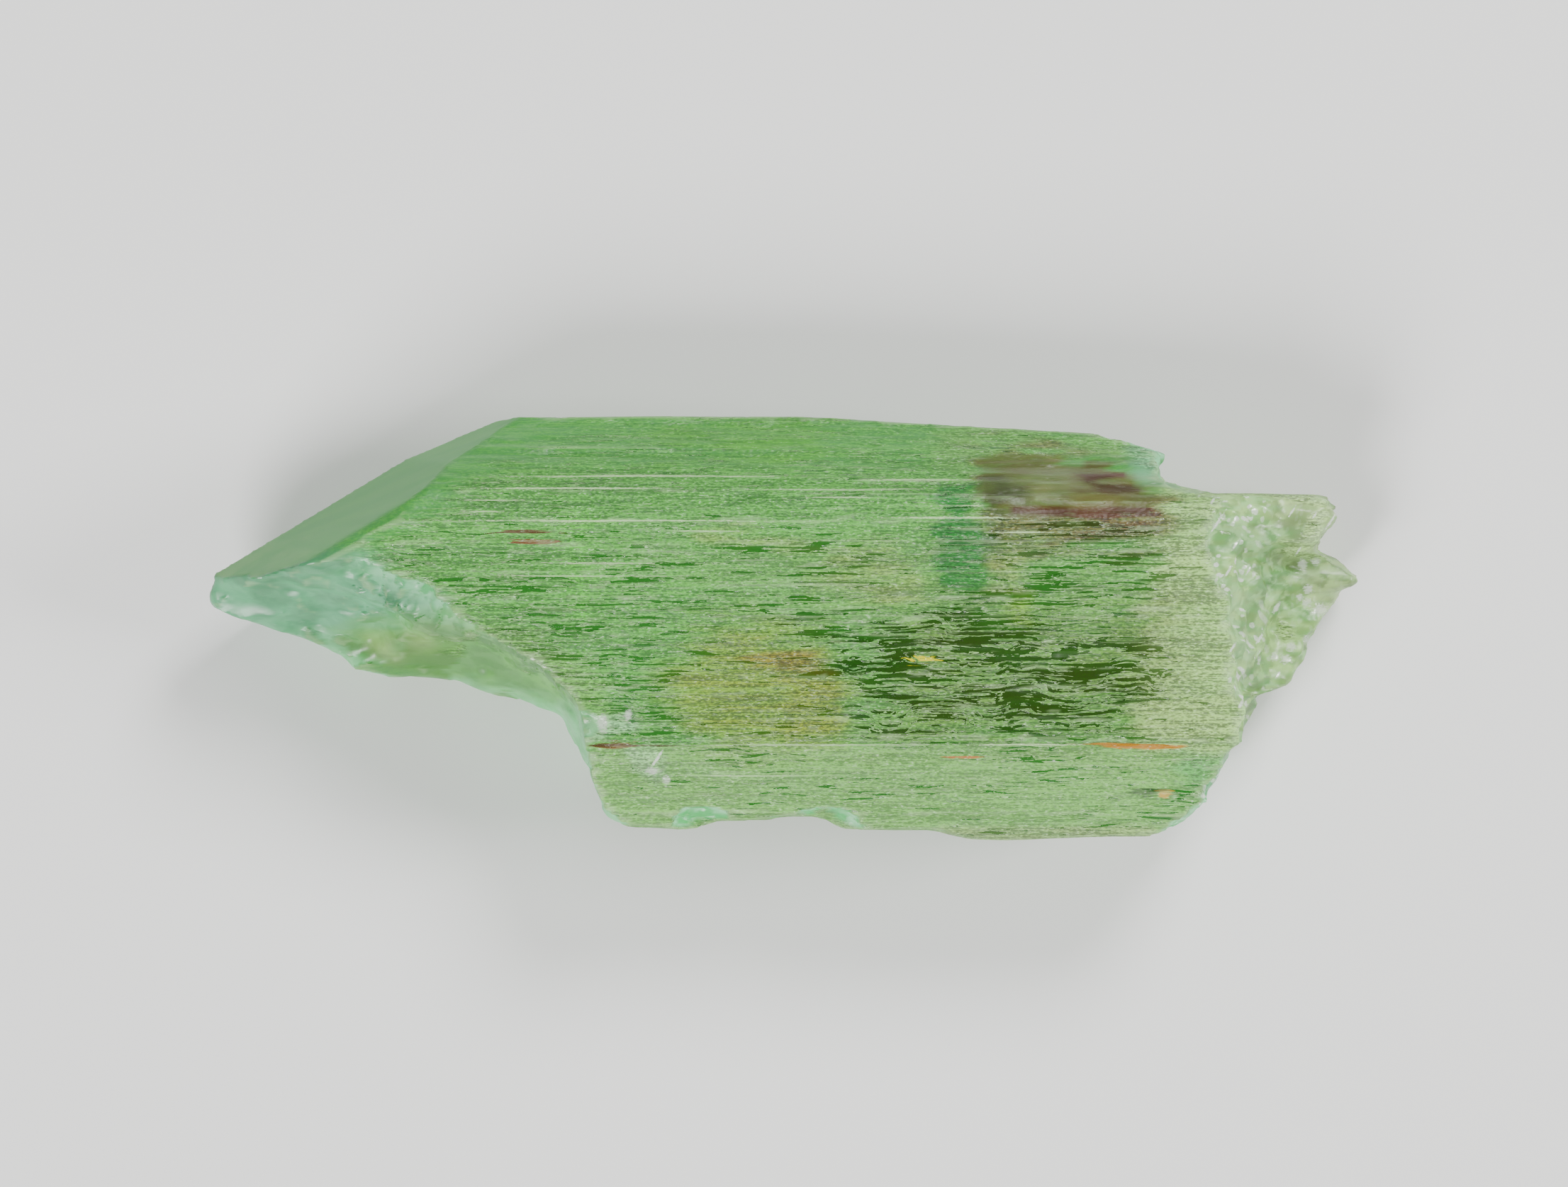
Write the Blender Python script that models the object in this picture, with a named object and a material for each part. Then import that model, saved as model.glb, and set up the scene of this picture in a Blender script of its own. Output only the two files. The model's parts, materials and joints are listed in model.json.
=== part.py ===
"""Hiddenite crystal: a green spodumene prism, pointed at one end and broken off at the other.

Frame, in metres: +X runs along the crystal's long axis from the pointed end to the broken end,
+Y towards its straight upper edge, +Z up out of the broad striated face. The crystal lies on its
broad back face, and the origin is on that face under the middle of the crystal.

Sizes below are in millimetres. There x is measured from the tip, y from the lowest point of the
lower edge and z from the back face. The finished mesh is scaled to metres and centred.
"""

import math
import random

import bmesh
import bpy
import numpy as np
from mathutils import Matrix, Vector, noise

MM = 0.001

# Driving dimensions
LENGTH = 30.0
WIDTH = 11.1
THICKNESS = 5.8

# Cross-section: the corners between the prism faces as (y, z), from the lower front edge over the
# broad front face to the upper edge, and back under the crystal.
SECTION = (
    (0.00, 4.55),  # lower edge
    (0.75, 5.05),
    (2.50, 5.50),  # ridge between the lower band and the broad face
    (2.62, 5.62),
    (8.34, 5.80),  # upper limit of the broad face
    (9.13, 5.52),
    (9.50, 5.22),
    (11.10, 3.45),  # straight upper edge
    (10.95, 2.85),
    (8.75, 0.00),  # broad back face, on which it rests
    (1.95, 0.00),
    (0.25, 2.90),
)
REST_SIDE = 9  # the side of SECTION that starts at (8.75, 0)
LATH_WIDTH = 0.36  # mean width of the growth laths that striate each face
LATH_STEP = 0.075  # how deep a lath may lie below its face
LATH_BIAS = 1.6  # above 1, more laths lie high than deep
LATH_UNEVEN = 0.28  # how far the slope between two laths may shift, as a share of a lath's width
LATH_SEED = 7
RISER = 0.03  # half the width of the slope between two laths
REST_LATHS = (0.0, 0.13, 0.0, 0.11, 0.0)  # depths of the back face's five laths: three carry it
WANDER_MEAN = 0.8  # how a lath's depth changes along the crystal: its mean share,
WANDER_REACH = 1.8  # how far it strays from that,
WANDER_RATE = 0.31  # how fast, for each millimetre,
LATH_STRIDE = 1.7  # and how far apart two neighbouring laths' values are drawn
WANDER_SLICE = 4.0
STATIONS = (-0.3, 2.5, 4.6, 6.9, 9.0, 11.1, 13.3, 15.5, 17.4, 19.6, 21.7, 23.8, 26.0, 28.4, 31.0)
TAPER_START = 15.5  # from here the upper edge leans in towards the broken end
TAPER = 0.058
TAPER_LOW = 7.0  # the lean fades in above this y
TAPER_HEIGHT = 4.0  # over this much of it

# Termination: planes as (point, normal), which cut the upper left corner to a chisel edge.
# TIP_EDGE_LOW and TIP_EDGE_HIGH are points on that edge.
TIP_EDGE_LOW = (0.28, 7.05, 2.9)
TIP_EDGE_HIGH = (5.57, 10.13, 2.9)
TERMINATION = (
    (TIP_EDGE_LOW, (-0.512, 0.859, 0.37)),
    ((4.95, 8.45, 5.70), (-0.307, 0.515, 0.80)),  # worn edge towards the broad face
    (TIP_EDGE_LOW, (-0.512, 0.859, -0.52)),
    (TIP_EDGE_HIGH, (-0.391, 0.921, 0.30)),
    (TIP_EDGE_HIGH, (-0.391, 0.921, -0.42)),
)

# Chip on the lower left: where it leaves the front face, and the outline of the thin flake that
# stays behind it, from the tip to the lower edge. Both lists are (x, y) and match point by point.
CHIP_RIDGE = (
    (0.60, 8.60), (0.70, 7.60), (1.10, 7.22), (1.90, 7.22), (2.90, 7.42), (3.62, 7.47), (4.34, 7.47),
    (4.82, 7.12), (5.40, 6.92), (6.07, 6.75), (6.38, 6.27), (6.73, 5.85), (7.29, 5.50),
    (7.82, 5.07), (8.36, 4.70), (8.78, 4.46), (9.35, 3.91), (9.66, 3.50), (9.74, 3.16),
    (9.84, 2.50), (9.96, 2.00), (10.10, 1.45), (10.30, 0.87), (10.66, 0.52), (11.00, 0.37),
    (11.60, -0.10), (12.00, -0.60),
)
FLAKE_OUTLINE = (
    (0.50, 8.40), (0.12, 6.78), (0.00, 6.44), (0.08, 6.16), (0.31, 6.00), (0.96, 5.74), (1.88, 5.46),
    (2.80, 5.13), (3.30, 4.88), (3.56, 4.72), (3.78, 4.46), (4.74, 4.28), (6.03, 4.26),
    (6.59, 4.17), (6.80, 3.98), (7.42, 3.80), (7.88, 3.78), (8.34, 3.60), (8.98, 3.40),
    (9.26, 3.20), (9.60, 2.55), (9.95, 1.90), (10.34, 1.20), (10.78, 0.72), (11.20, 0.30),
    (11.70, -0.20), (12.10, -0.70),
)
# From the ridge the chip steps down over a hackly ledge and then drops to the flake. LEDGE is the
# share of the way that the ledge takes, as (x, share); CHIP_FALL is (share, height left), where
# a share up to 1 crosses the ledge and from 1 to 2 the rest of the way.
LEDGE = ((0.5, 0.10), (2.0, 0.34), (3.5, 0.42), (6.4, 0.38), (7.6, 0.12), (9.5, 0.05))
CHIP_FALL = (
    (0.00, 1.00), (0.30, 0.88), (0.65, 0.80), (1.00, 0.68), (1.12, 0.40), (1.35, 0.26),
    (1.65, 0.12), (2.00, 0.00),
)
CHIP_TOP = 5.95
FLAKE_RIM = ((0.0, 3.0), (1.9, 2.7), (4.2, 1.8), (8.0, 1.5), (9.3, 1.9), (9.9, 2.5), (12.5, 2.6))
FLAKE_RIM_THICKNESS = 0.8
CHIP_LEAN = (0.30, 0.50)  # how far the cutter leans in above the ridge and below the rim, in x and y
CHIP_SWEEP = (-8.0, -12.0, 0.0)
CHIP_HACKLE = (0.11, 0.11, 0.24)  # how uneven it is in x, y and z
CHIP_GRAIN = 0.62  # size of the facets that the chip breaks into
CHIP_SEED = 3.0

# Broken end: how far it reaches at the back, in the splinters, and at the front face, as (x, y)
# from the top down.
BREAK_BACK = (
    (22.60, 11.60), (23.10, 10.66), (23.56, 10.50), (24.10, 10.42), (24.50, 10.27), (24.80, 10.08),
    (24.90, 9.85), (24.94, 9.50), (25.05, 9.34), (25.60, 9.24), (26.20, 9.07), (29.00, 9.04),
    (29.36, 8.94), (29.52, 8.68), (29.12, 7.80), (29.05, 7.52), (29.42, 7.42), (29.80, 7.16),
    (30.10, 6.92), (29.98, 6.74), (29.58, 6.50), (29.10, 5.80), (28.62, 4.69), (28.30, 4.10),
    (27.82, 3.88), (27.48, 3.80), (27.22, 3.30), (26.82, 2.50), (26.58, 2.28), (26.30, 1.60),
    (25.90, 1.03), (25.40, 0.59), (24.90, 0.26), (24.40, -0.10), (23.60, -0.70),
)
BREAK_FRONT = (
    (22.60, 11.60), (23.60, 10.60), (24.60, 10.20), (24.90, 9.50), (25.30, 9.20), (25.95, 8.90),
    (26.30, 8.20), (26.35, 7.40), (26.50, 6.40), (26.75, 5.20), (26.70, 4.20), (26.95, 3.30),
    (26.82, 2.50), (26.60, 2.28), (26.40, 1.60), (26.02, 1.03), (25.48, 0.59), (24.96, 0.26),
    (24.40, -0.10), (23.60, -0.70),
)
# Tops of the splinters, as (y, height), and the way down to them: (level, share of the way from the
# front outline to the back one). Levels up to 1 are shares of a splinter's height, those from 1 to
# 2 lead up to the broad face.
SHELF = ((12.0, 3.9), (7.7, 3.9), (7.3, 2.6), (4.3, 2.3), (3.6, 3.2), (-1.0, 3.4))
BREAK_FALL = (
    (-0.40, 1.00), (0.00, 1.00), (0.30, 1.00), (0.62, 1.00), (0.86, 1.00), (1.00, 0.95),
    (1.07, 0.58), (1.30, 0.42), (1.55, 0.27), (1.80, 0.10), (2.00, 0.00), (2.60, -0.20),
)
BREAK_TOP = 5.85
BREAK_SWEEP = (12.0, 0.0, 0.0)
BREAK_UNDERCUT = 0.55  # how much the break falls back for each millimetre under its first one
BREAK_HACKLE = (0.34, 0.03, 0.09)
BREAK_GRAIN = 0.50
BREAK_SEED = 9.0

# Lower edge, with its notches, as (x, y) from the left.
KEEL = (
    (9.00, -0.60), (10.60, 0.52), (11.00, 0.38), (12.50, 0.32), (12.86, 0.37), (13.20, 0.54),
    (14.70, 0.56), (14.90, 0.65), (15.70, 0.66), (16.10, 0.60), (16.40, 0.39), (16.64, 0.30),
    (19.00, 0.30), (19.40, 0.15), (19.90, 0.04), (20.80, 0.00), (23.10, 0.10), (24.70, 0.16),
    (25.60, 0.16), (32.00, 0.16),
)
KEEL_LEVELS = ((-1.0, 0.30), (2.2, 0.10), (3.6, 0.03), (4.3, 0.0), (4.9, 0.05), (7.0, 0.5))  # (z, inset)
KEEL_SWEEP = (0.0, -5.0, 0.0)
KEEL_HACKLE = (0.02, 0.05, 0.02)
KEEL_GRAIN = 0.50
KEEL_SEED = 6.0

# Conchoidal scoops where the edges were knocked: (x, y, z), radius
SCOOPS = (
    ((9.75, 3.05, 6.00), 0.50),
    ((11.45, 1.40, 5.70), 0.40),
    ((13.05, 0.25, 5.05), 0.62),
    ((16.10, 0.05, 5.05), 0.85),
    ((24.75, 10.00, 5.35), 0.75),
    ((25.55, 1.95, 6.15), 0.75),
    ((6.60, 10.70, 5.30), 0.50),
    ((14.20, 10.75, 0.95), 0.80),
    ((4.80, 8.30, -0.55), 0.95),
    ((21.80, 0.35, 1.10), 0.85),
    ((25.90, 4.90, -0.35), 0.80),
)
SCOOP_STRETCH = 1.5  # scoops run further along the laths than across them
SCOOP_UNEVEN = 0.25
SCOOP_GRAIN = 0.60
SCOOP_STRIDE = (1.0, 2.3, 0.7)  # from one scoop's unevenness to the next one's

OVER_TOP = 7.4  # a height safely over the crystal
UNDER_BASE = -0.8  # and one safely under it
BLOCKINESS = 0.6  # how far a fracture breaks in blocks and not in waves
BLOCK_FINENESS = 1.3  # how much smaller the blocks are than the waves
HACKLE_SEED = 6  # which waves the fractures get
HALF = Vector((0.5, 0.5, 0.5))
RIM_CALM = 0.4  # how much of the hackle a cutter keeps at its own rim
BLOCK_SIZE = (40.0, 20.0, 12.0)  # of the block that the termination is cut on
BLOCK_MIDDLE = (16.0, 5.0, 3.0)

COLOUR = (0.30, 0.52, 0.33, 1.0)
SHARP_ANGLE = math.radians(30.0)  # faces that meet at more than this show an edge
ROUGHNESS = 0.25
TRANSMISSION = 0.6
IOR = 1.66


def clear_scene():
    """Removes every object that the file starts with."""
    for obj in list(bpy.data.objects):
        bpy.data.objects.remove(obj, do_unlink=True)


def add_object(name, bm):
    """Turns a bmesh in millimetres into an object in metres, with its faces pointing out."""
    bmesh.ops.triangulate(bm, faces=bm.faces)
    bmesh.ops.recalc_face_normals(bm, faces=bm.faces)
    bmesh.ops.scale(bm, vec=(MM, MM, MM), verts=bm.verts)
    mesh = bpy.data.meshes.new(name)
    bm.to_mesh(mesh)
    bm.free()
    obj = bpy.data.objects.new(name, mesh)
    bpy.context.scene.collection.objects.link(obj)
    return obj


# ---------------------------------------------------------------- striated prism


def lath_depths(side, count, rng):
    """How deep each lath of one prism face lies. The back face's laths carry the crystal."""
    if side == REST_SIDE:
        return list(REST_LATHS)
    return [LATH_STEP * rng.random() ** LATH_BIAS for _ in range(count)]


def striated_section():
    """The cross-section as [(y, z), inward normal, lath depth, lath number], corner by corner."""
    rng = random.Random(LATH_SEED)
    points = []
    for side, start in enumerate(SECTION):
        a = Vector(start)
        b = Vector(SECTION[(side + 1) % len(SECTION)])
        along = (b - a).normalized()
        inward = Vector((along.y, -along.x))
        length = (b - a).length
        count = len(REST_LATHS) if side == REST_SIDE else round(length / LATH_WIDTH)
        points.append((a, inward, 0.0, 0))
        if count < 2:
            continue
        depths = lath_depths(side, count, rng)
        edges = [length * i / count for i in range(count + 1)]
        for i in range(1, count):
            edges[i] += rng.uniform(-LATH_UNEVEN, LATH_UNEVEN) * length / count
        for i, depth in enumerate(depths):
            if i:
                points.append((a + along * (edges[i] + RISER), inward, depth, len(points)))
            if i < count - 1:
                points.append((a + along * (edges[i + 1] - RISER), inward, depth, len(points)))
    return points


def lath_wander(x, lath, depth):
    """A lath's depth at x: laths rise and sink slowly along the crystal."""
    if depth == 0.0:
        return 0.0
    place = Vector((WANDER_RATE * x, LATH_STRIDE * lath, WANDER_SLICE))
    return depth * max(0.0, WANDER_MEAN + WANDER_REACH * noise.noise(place))


def section_at(x, section):
    """The striated cross-section's points at one station along the crystal."""
    lean = TAPER * max(0.0, x - TAPER_START)
    placed = []
    for place, inward, depth, lath in section:
        y, z = place + inward * lath_wander(x, lath, depth)
        share = min(max((y - TAPER_LOW) / TAPER_HEIGHT, 0.0), 1.0)
        placed.append(Vector((x, y - lean * share, z)))
    return placed


def prism():
    """The whole striated prism, uncut at both ends."""
    section = striated_section()
    bm = bmesh.new()
    face = bm.faces.new([bm.verts.new(p) for p in section_at(STATIONS[0], section)])
    for x in STATIONS[1:]:
        grown = bmesh.ops.extrude_face_region(bm, geom=[face], use_keep_orig=True)["geom"]
        end = [g for g in grown if isinstance(g, bmesh.types.BMFace)][0]
        for vert, place in zip(end.verts, section_at(x, section)):
            vert.co = place
        if x != STATIONS[1]:
            bm.faces.remove(face)
        face = end
    return bm


# ---------------------------------------------------------------- cutters


def envelope():
    """A block that holds the whole crystal, with the termination faces cut on its corner."""
    bm = bmesh.new()
    bmesh.ops.create_cube(bm, size=1.0)
    bmesh.ops.scale(bm, vec=BLOCK_SIZE, verts=bm.verts)
    bmesh.ops.translate(bm, vec=BLOCK_MIDDLE, verts=bm.verts)
    for point, normal in TERMINATION:
        everything = bm.verts[:] + bm.edges[:] + bm.faces[:]
        cut = bmesh.ops.bisect_plane(
            bm, geom=everything, plane_co=point, plane_no=normal, clear_outer=True
        )
        edges = [g for g in cut["geom_cut"] if isinstance(g, bmesh.types.BMEdge)]
        bmesh.ops.holes_fill(bm, edges=edges)
    return bm


def roughen(bm, amount, grain, seed):
    """Splits every face and shoves the points about in blocks, as a hackly fracture."""
    bmesh.ops.subdivide_edges(bm, edges=bm.edges[:], cuts=1, use_grid_fill=True)
    for vert in bm.verts:
        place = vert.co / grain + Vector((seed, seed, seed))
        blocks = noise.cell_vector(BLOCK_FINENESS * place) - HALF
        shove = noise.noise_vector(place) + BLOCKINESS * blocks
        calm = RIM_CALM if vert.is_boundary else 1.0
        vert.co += Vector([calm * a * b for a, b in zip(amount, shove)])


def swept_sheet(rows, sweep, amount, grain, seed):
    """A closed cutter: a sheet through rows of points, roughened and thickened along sweep."""
    bm = bmesh.new()
    grid = [[bm.verts.new(p) for p in row] for row in rows]
    for upper, lower in zip(grid, grid[1:]):
        for i in range(len(upper) - 1):
            bm.faces.new((upper[i], upper[i + 1], lower[i + 1], lower[i]))
    roughen(bm, amount, grain, seed)
    bmesh.ops.triangulate(bm, faces=bm.faces)
    grown = bmesh.ops.extrude_face_region(bm, geom=bm.faces[:], use_keep_orig=True)["geom"]
    moved = [g for g in grown if isinstance(g, bmesh.types.BMVert)]
    bmesh.ops.translate(bm, vec=sweep, verts=moved)
    return bm


def profile(points, value):
    """The curve through points, which rise in their first number, read at value."""
    return float(np.interp(value, [p[0] for p in points], [p[1] for p in points]))


def chip_point(ridge, flake, share, left):
    """A point of the chip's surface between a ridge point and the flake's outline."""
    ledge = profile(LEDGE, ridge[0])
    way = share * ledge if share <= 1.0 else ledge + (share - 1.0) * (1.0 - ledge)
    rim = profile(FLAKE_RIM, flake[0])
    x = ridge[0] + (flake[0] - ridge[0]) * way
    y = ridge[1] + (flake[1] - ridge[1]) * way
    return (x, y, rim + (CHIP_TOP - rim) * left)


def chip_cutter():
    """The big flake struck off the lower left, down to a thin hackly remainder."""
    lean_x, lean_y = CHIP_LEAN
    rows = [[(x + lean_x, y + lean_y, OVER_TOP) for x, y in CHIP_RIDGE]]
    for share, left in CHIP_FALL:
        pairs = zip(CHIP_RIDGE, FLAKE_OUTLINE)
        rows.append([chip_point(ridge, flake, share, left) for ridge, flake in pairs])
    under_rim = [profile(FLAKE_RIM, x) - FLAKE_RIM_THICKNESS for x, _ in FLAKE_OUTLINE]
    rows.append([(x, y, z) for (x, y), z in zip(FLAKE_OUTLINE, under_rim)])
    rows.append([(x + lean_x, y + lean_y, UNDER_BASE) for x, y in FLAKE_OUTLINE])
    return swept_sheet(rows, CHIP_SWEEP, CHIP_HACKLE, CHIP_GRAIN, CHIP_SEED)


def break_point(y, level, share):
    """A point of the broken end at y."""
    back = profile([(p[1], p[0]) for p in reversed(BREAK_BACK)], y)
    front = profile([(p[1], p[0]) for p in reversed(BREAK_FRONT)], y)
    shelf = profile(SHELF[::-1], y)
    z = shelf * level if level <= 1.0 else shelf + (level - 1.0) * (BREAK_TOP - shelf)
    return (front + (back - front) * share - BREAK_UNDERCUT * max(0.0, 1.0 - z), y, z)


def break_cutter():
    """What is missing beyond the broken end."""
    heights = sorted({p[1] for p in BREAK_BACK} | {p[1] for p in BREAK_FRONT})
    rows = [[break_point(y, level, share) for y in heights] for level, share in BREAK_FALL]
    return swept_sheet(rows, BREAK_SWEEP, BREAK_HACKLE, BREAK_GRAIN, BREAK_SEED)


def keel_cutter():
    """What is missing below the notched lower edge."""
    rows = [[(x, y + inset, z) for x, y in KEEL] for z, inset in KEEL_LEVELS]
    return swept_sheet(rows, KEEL_SWEEP, KEEL_HACKLE, KEEL_GRAIN, KEEL_SEED)


def scoop_cutters():
    """Shell-shaped scoops along the edges, as faceted balls."""
    bm = bmesh.new()
    for seed, (centre, radius) in enumerate(SCOOPS):
        ball = bmesh.ops.create_icosphere(bm, subdivisions=2, radius=radius)["verts"]
        for vert in ball:
            place = vert.co / SCOOP_GRAIN + Vector([stride * seed for stride in SCOOP_STRIDE])
            vert.co *= 1.0 + SCOOP_UNEVEN * noise.noise(place)
            vert.co.x *= SCOOP_STRETCH
        bmesh.ops.translate(bm, vec=centre, verts=ball)
    return bm


# ---------------------------------------------------------------- assembly


def crystal_material():
    """Clear green spodumene."""
    material = bpy.data.materials.new("hiddenite")
    material.use_nodes = True
    shader = material.node_tree.nodes["Principled BSDF"]
    shader.inputs["Base Color"].default_value = COLOUR
    shader.inputs["Metallic"].default_value = 0.0
    shader.inputs["Roughness"].default_value = ROUGHNESS
    shader.inputs["IOR"].default_value = IOR
    shader.inputs["Transmission Weight"].default_value = TRANSMISSION
    return material


def cut(obj, operation, cutter_name, bm):
    """Adds a Boolean modifier whose other body is a hidden cutter made from bm."""
    cutter = add_object(cutter_name, bm)
    cutter.hide_render = True
    cutter.display_type = "WIRE"
    modifier = obj.modifiers.new(cutter_name, "BOOLEAN")
    modifier.operation = operation
    modifier.solver = "EXACT"
    modifier.object = cutter


def finish(obj):
    """Bakes the cuts into the mesh, brings it to its overall size and puts the origin on the base
    under the middle."""
    graph = bpy.context.evaluated_depsgraph_get()
    mesh = bpy.data.meshes.new_from_object(obj.evaluated_get(graph))
    obj.modifiers.clear()
    obj.data = mesh
    mesh.shade_smooth()
    mesh.set_sharp_from_angle(angle=SHARP_ANGLE)
    points = np.array([v.co for v in mesh.vertices])
    low, high = points.min(axis=0), points.max(axis=0)
    shift = Vector((-(low[0] + high[0]) / 2, -(low[1] + high[1]) / 2, -low[2]))
    mesh.transform(Matrix.Translation(shift))
    overall = np.array((LENGTH, WIDTH, THICKNESS)) * MM
    mesh.transform(Matrix.Diagonal((*(overall / (high - low)), 1.0)))


def main():
    """Builds the one node, hiddenite_crystal."""
    clear_scene()
    noise.seed_set(HACKLE_SEED)
    crystal = add_object("hiddenite_crystal", prism())
    cut(crystal, "INTERSECT", "envelope_cutter", envelope())
    cut(crystal, "DIFFERENCE", "chip_cutter", chip_cutter())
    cut(crystal, "DIFFERENCE", "break_cutter", break_cutter())
    cut(crystal, "DIFFERENCE", "keel_cutter", keel_cutter())
    cut(crystal, "DIFFERENCE", "scoop_cutter", scoop_cutters())
    bpy.context.view_layer.update()
    finish(crystal)
    crystal.data.materials.clear()
    crystal.data.materials.append(crystal_material())


main()
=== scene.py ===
"""Looks of the hiddenite crystal: a translucent green spodumene prism on a pale floor.

The crystal is one piece, CrystalBody. It starts as a copy of the solid, is remeshed finely, and
gets its growth laths, etch pits and fracture hackle as real relief. One material, HiddeniteFinish,
makes it see-through green with a frosted, stained skin. Studio holds the floor, the lights and the
camera.

Lengths in the dataclasses are in millimetres unless they say otherwise, in the frame of the solid:
+X from the pointed end to the broken end, +Y to the straight upper edge, +Z up out of the broad
striated face, origin on the base under the middle.
"""

import json
import logging
import math
from dataclasses import dataclass, field
from enum import Enum

import bmesh
import bpy
import numpy as np
from mathutils import Matrix, Vector
from mathutils.bvhtree import BVHTree

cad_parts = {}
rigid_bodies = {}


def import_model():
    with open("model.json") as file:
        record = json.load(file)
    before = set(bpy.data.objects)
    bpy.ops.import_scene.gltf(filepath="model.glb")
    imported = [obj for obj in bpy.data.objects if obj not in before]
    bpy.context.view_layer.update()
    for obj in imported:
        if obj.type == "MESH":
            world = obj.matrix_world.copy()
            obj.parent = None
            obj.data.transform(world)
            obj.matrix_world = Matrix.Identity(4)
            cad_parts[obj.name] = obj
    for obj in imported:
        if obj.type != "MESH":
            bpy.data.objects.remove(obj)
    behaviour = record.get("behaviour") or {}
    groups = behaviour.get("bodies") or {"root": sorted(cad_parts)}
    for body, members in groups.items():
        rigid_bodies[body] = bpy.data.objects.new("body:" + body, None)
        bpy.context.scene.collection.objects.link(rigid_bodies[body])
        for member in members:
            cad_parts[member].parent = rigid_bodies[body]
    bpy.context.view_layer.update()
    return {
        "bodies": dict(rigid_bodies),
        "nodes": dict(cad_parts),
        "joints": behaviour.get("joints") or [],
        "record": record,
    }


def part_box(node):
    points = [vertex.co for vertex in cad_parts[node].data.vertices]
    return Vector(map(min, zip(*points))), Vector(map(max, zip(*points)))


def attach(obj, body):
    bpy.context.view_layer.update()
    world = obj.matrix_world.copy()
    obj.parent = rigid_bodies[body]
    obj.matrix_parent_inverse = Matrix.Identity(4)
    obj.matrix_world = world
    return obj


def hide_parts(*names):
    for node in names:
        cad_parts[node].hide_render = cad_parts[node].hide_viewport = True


LOG = logging.getLogger("hiddenite")
NODE = "hiddenite_crystal"
MM = 0.001  # metres in a millimetre
MERGE = 0.0005 * MM  # points of the solid that are closer than this are one

Colour = tuple[float, float, float]
Outline = tuple[tuple[float, float], ...]
Socket = bpy.types.NodeSocket
Value = Socket | float
Triple = Socket | tuple[float, float, float]
Sockets = dict[str, Socket]


class Zone(Enum):
    """The kinds of surface on the crystal."""

    SKIN = "skin"
    TERMINATION = "termination"
    FRACTURE = "fracture"


# ---- noise on arrays


class Lattice:
    """Smooth random values on a lattice, read for whole arrays of points at once."""

    CELLS = 64

    def __init__(self, seed: int) -> None:
        """Fills the lattice with the random values of a seed."""
        self.values = np.random.default_rng(seed).random((self.CELLS,) * 3)

    def pick(self, number: np.ndarray, row: int = 0) -> np.ndarray:
        """A random value from 0 to 1 for each whole number, from one of the lattice's rows."""
        return self.values[np.asarray(number).astype(int) % self.CELLS, row % self.CELLS, 5]

    def read(self, x: np.ndarray, y: np.ndarray, z: np.ndarray) -> np.ndarray:
        """Smooth noise from 0 to 1.

        Args:
            x: First coordinate, in lattice cells.
            y: Second coordinate.
            z: Third coordinate.

        Returns:
            One value per point.
        """
        x, y, z = np.broadcast_arrays(x, y, z)
        cells = [np.floor(axis).astype(int) for axis in (x, y, z)]
        shares = [axis - cell for axis, cell in zip((x, y, z), cells)]
        ease = [share * share * (3.0 - 2.0 * share) for share in shares]
        total = np.zeros(x.shape)
        for corner in range(8):
            steps = [(corner >> axis) & 1 for axis in range(3)]
            weight = np.ones(x.shape)
            for share, step in zip(ease, steps):
                weight = weight * (share if step else 1.0 - share)
            index = tuple((cell + step) % self.CELLS for cell, step in zip(cells, steps))
            total += weight * self.values[index]
        return total

    def facets(self, x: np.ndarray, y: np.ndarray, z: np.ndarray) -> np.ndarray:
        """Flat facets, each with its own level and tilt, with sharp steps between them.

        Args:
            x: First coordinate, in cells; a facet fills about one cell.
            y: Second coordinate.
            z: Third coordinate.

        Returns:
            Values round 0.5, one per point.
        """
        cells = [np.floor(axis).astype(int) for axis in (x, y, z)]
        best = np.full(x.shape, np.inf)
        value = np.zeros(x.shape)
        for step in np.ndindex(3, 3, 3):
            index = [cell + offset - 1 for cell, offset in zip(cells, step)]
            wrapped = tuple(number % self.CELLS for number in index)
            turned = (wrapped[2], wrapped[0], wrapped[1])
            mixed = (wrapped[1], wrapped[2], wrapped[0])
            jitter = (self.values[wrapped], self.values[turned], self.values[mixed])
            away = [axis - number - share for axis, number, share in zip((x, y, z), index, jitter)]
            distance = away[0] ** 2 + away[1] ** 2 + away[2] ** 2
            level = 0.25 + 0.5 * self.values[turned]
            tilt = sum(
                (share - 0.5) * gap for share, gap in zip((jitter[1], jitter[2], jitter[0]), away)
            )
            value = np.where(distance < best, level + 1.3 * tilt, value)
            best = np.minimum(best, distance)
        return value.clip(0.0, 1.0)

    def fractal(self, x: np.ndarray, y: np.ndarray, z: np.ndarray, octaves: int = 3) -> np.ndarray:
        """Noise from 0 to 1 with finer noise added on it.

        Args:
            x: First coordinate, in lattice cells.
            y: Second coordinate.
            z: Third coordinate.
            octaves: How many times finer noise is added.

        Returns:
            One value per point.
        """
        total, weight, reach = 0.0, 1.0, 0.0
        for octave in range(octaves):
            scale = 2.03**octave
            total = total + weight * self.read(x * scale, y * scale, z * scale + 9.7 * octave)
            reach += weight
            weight *= 0.5
        return total / reach


def smoothstep(low: float, high: float, value: np.ndarray) -> np.ndarray:
    """Eases value from 0 at low to 1 at high."""
    share = np.clip((value - low) / (high - low), 0.0, 1.0)
    return share * share * (3.0 - 2.0 * share)


# ---- the crystal's mesh


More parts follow.
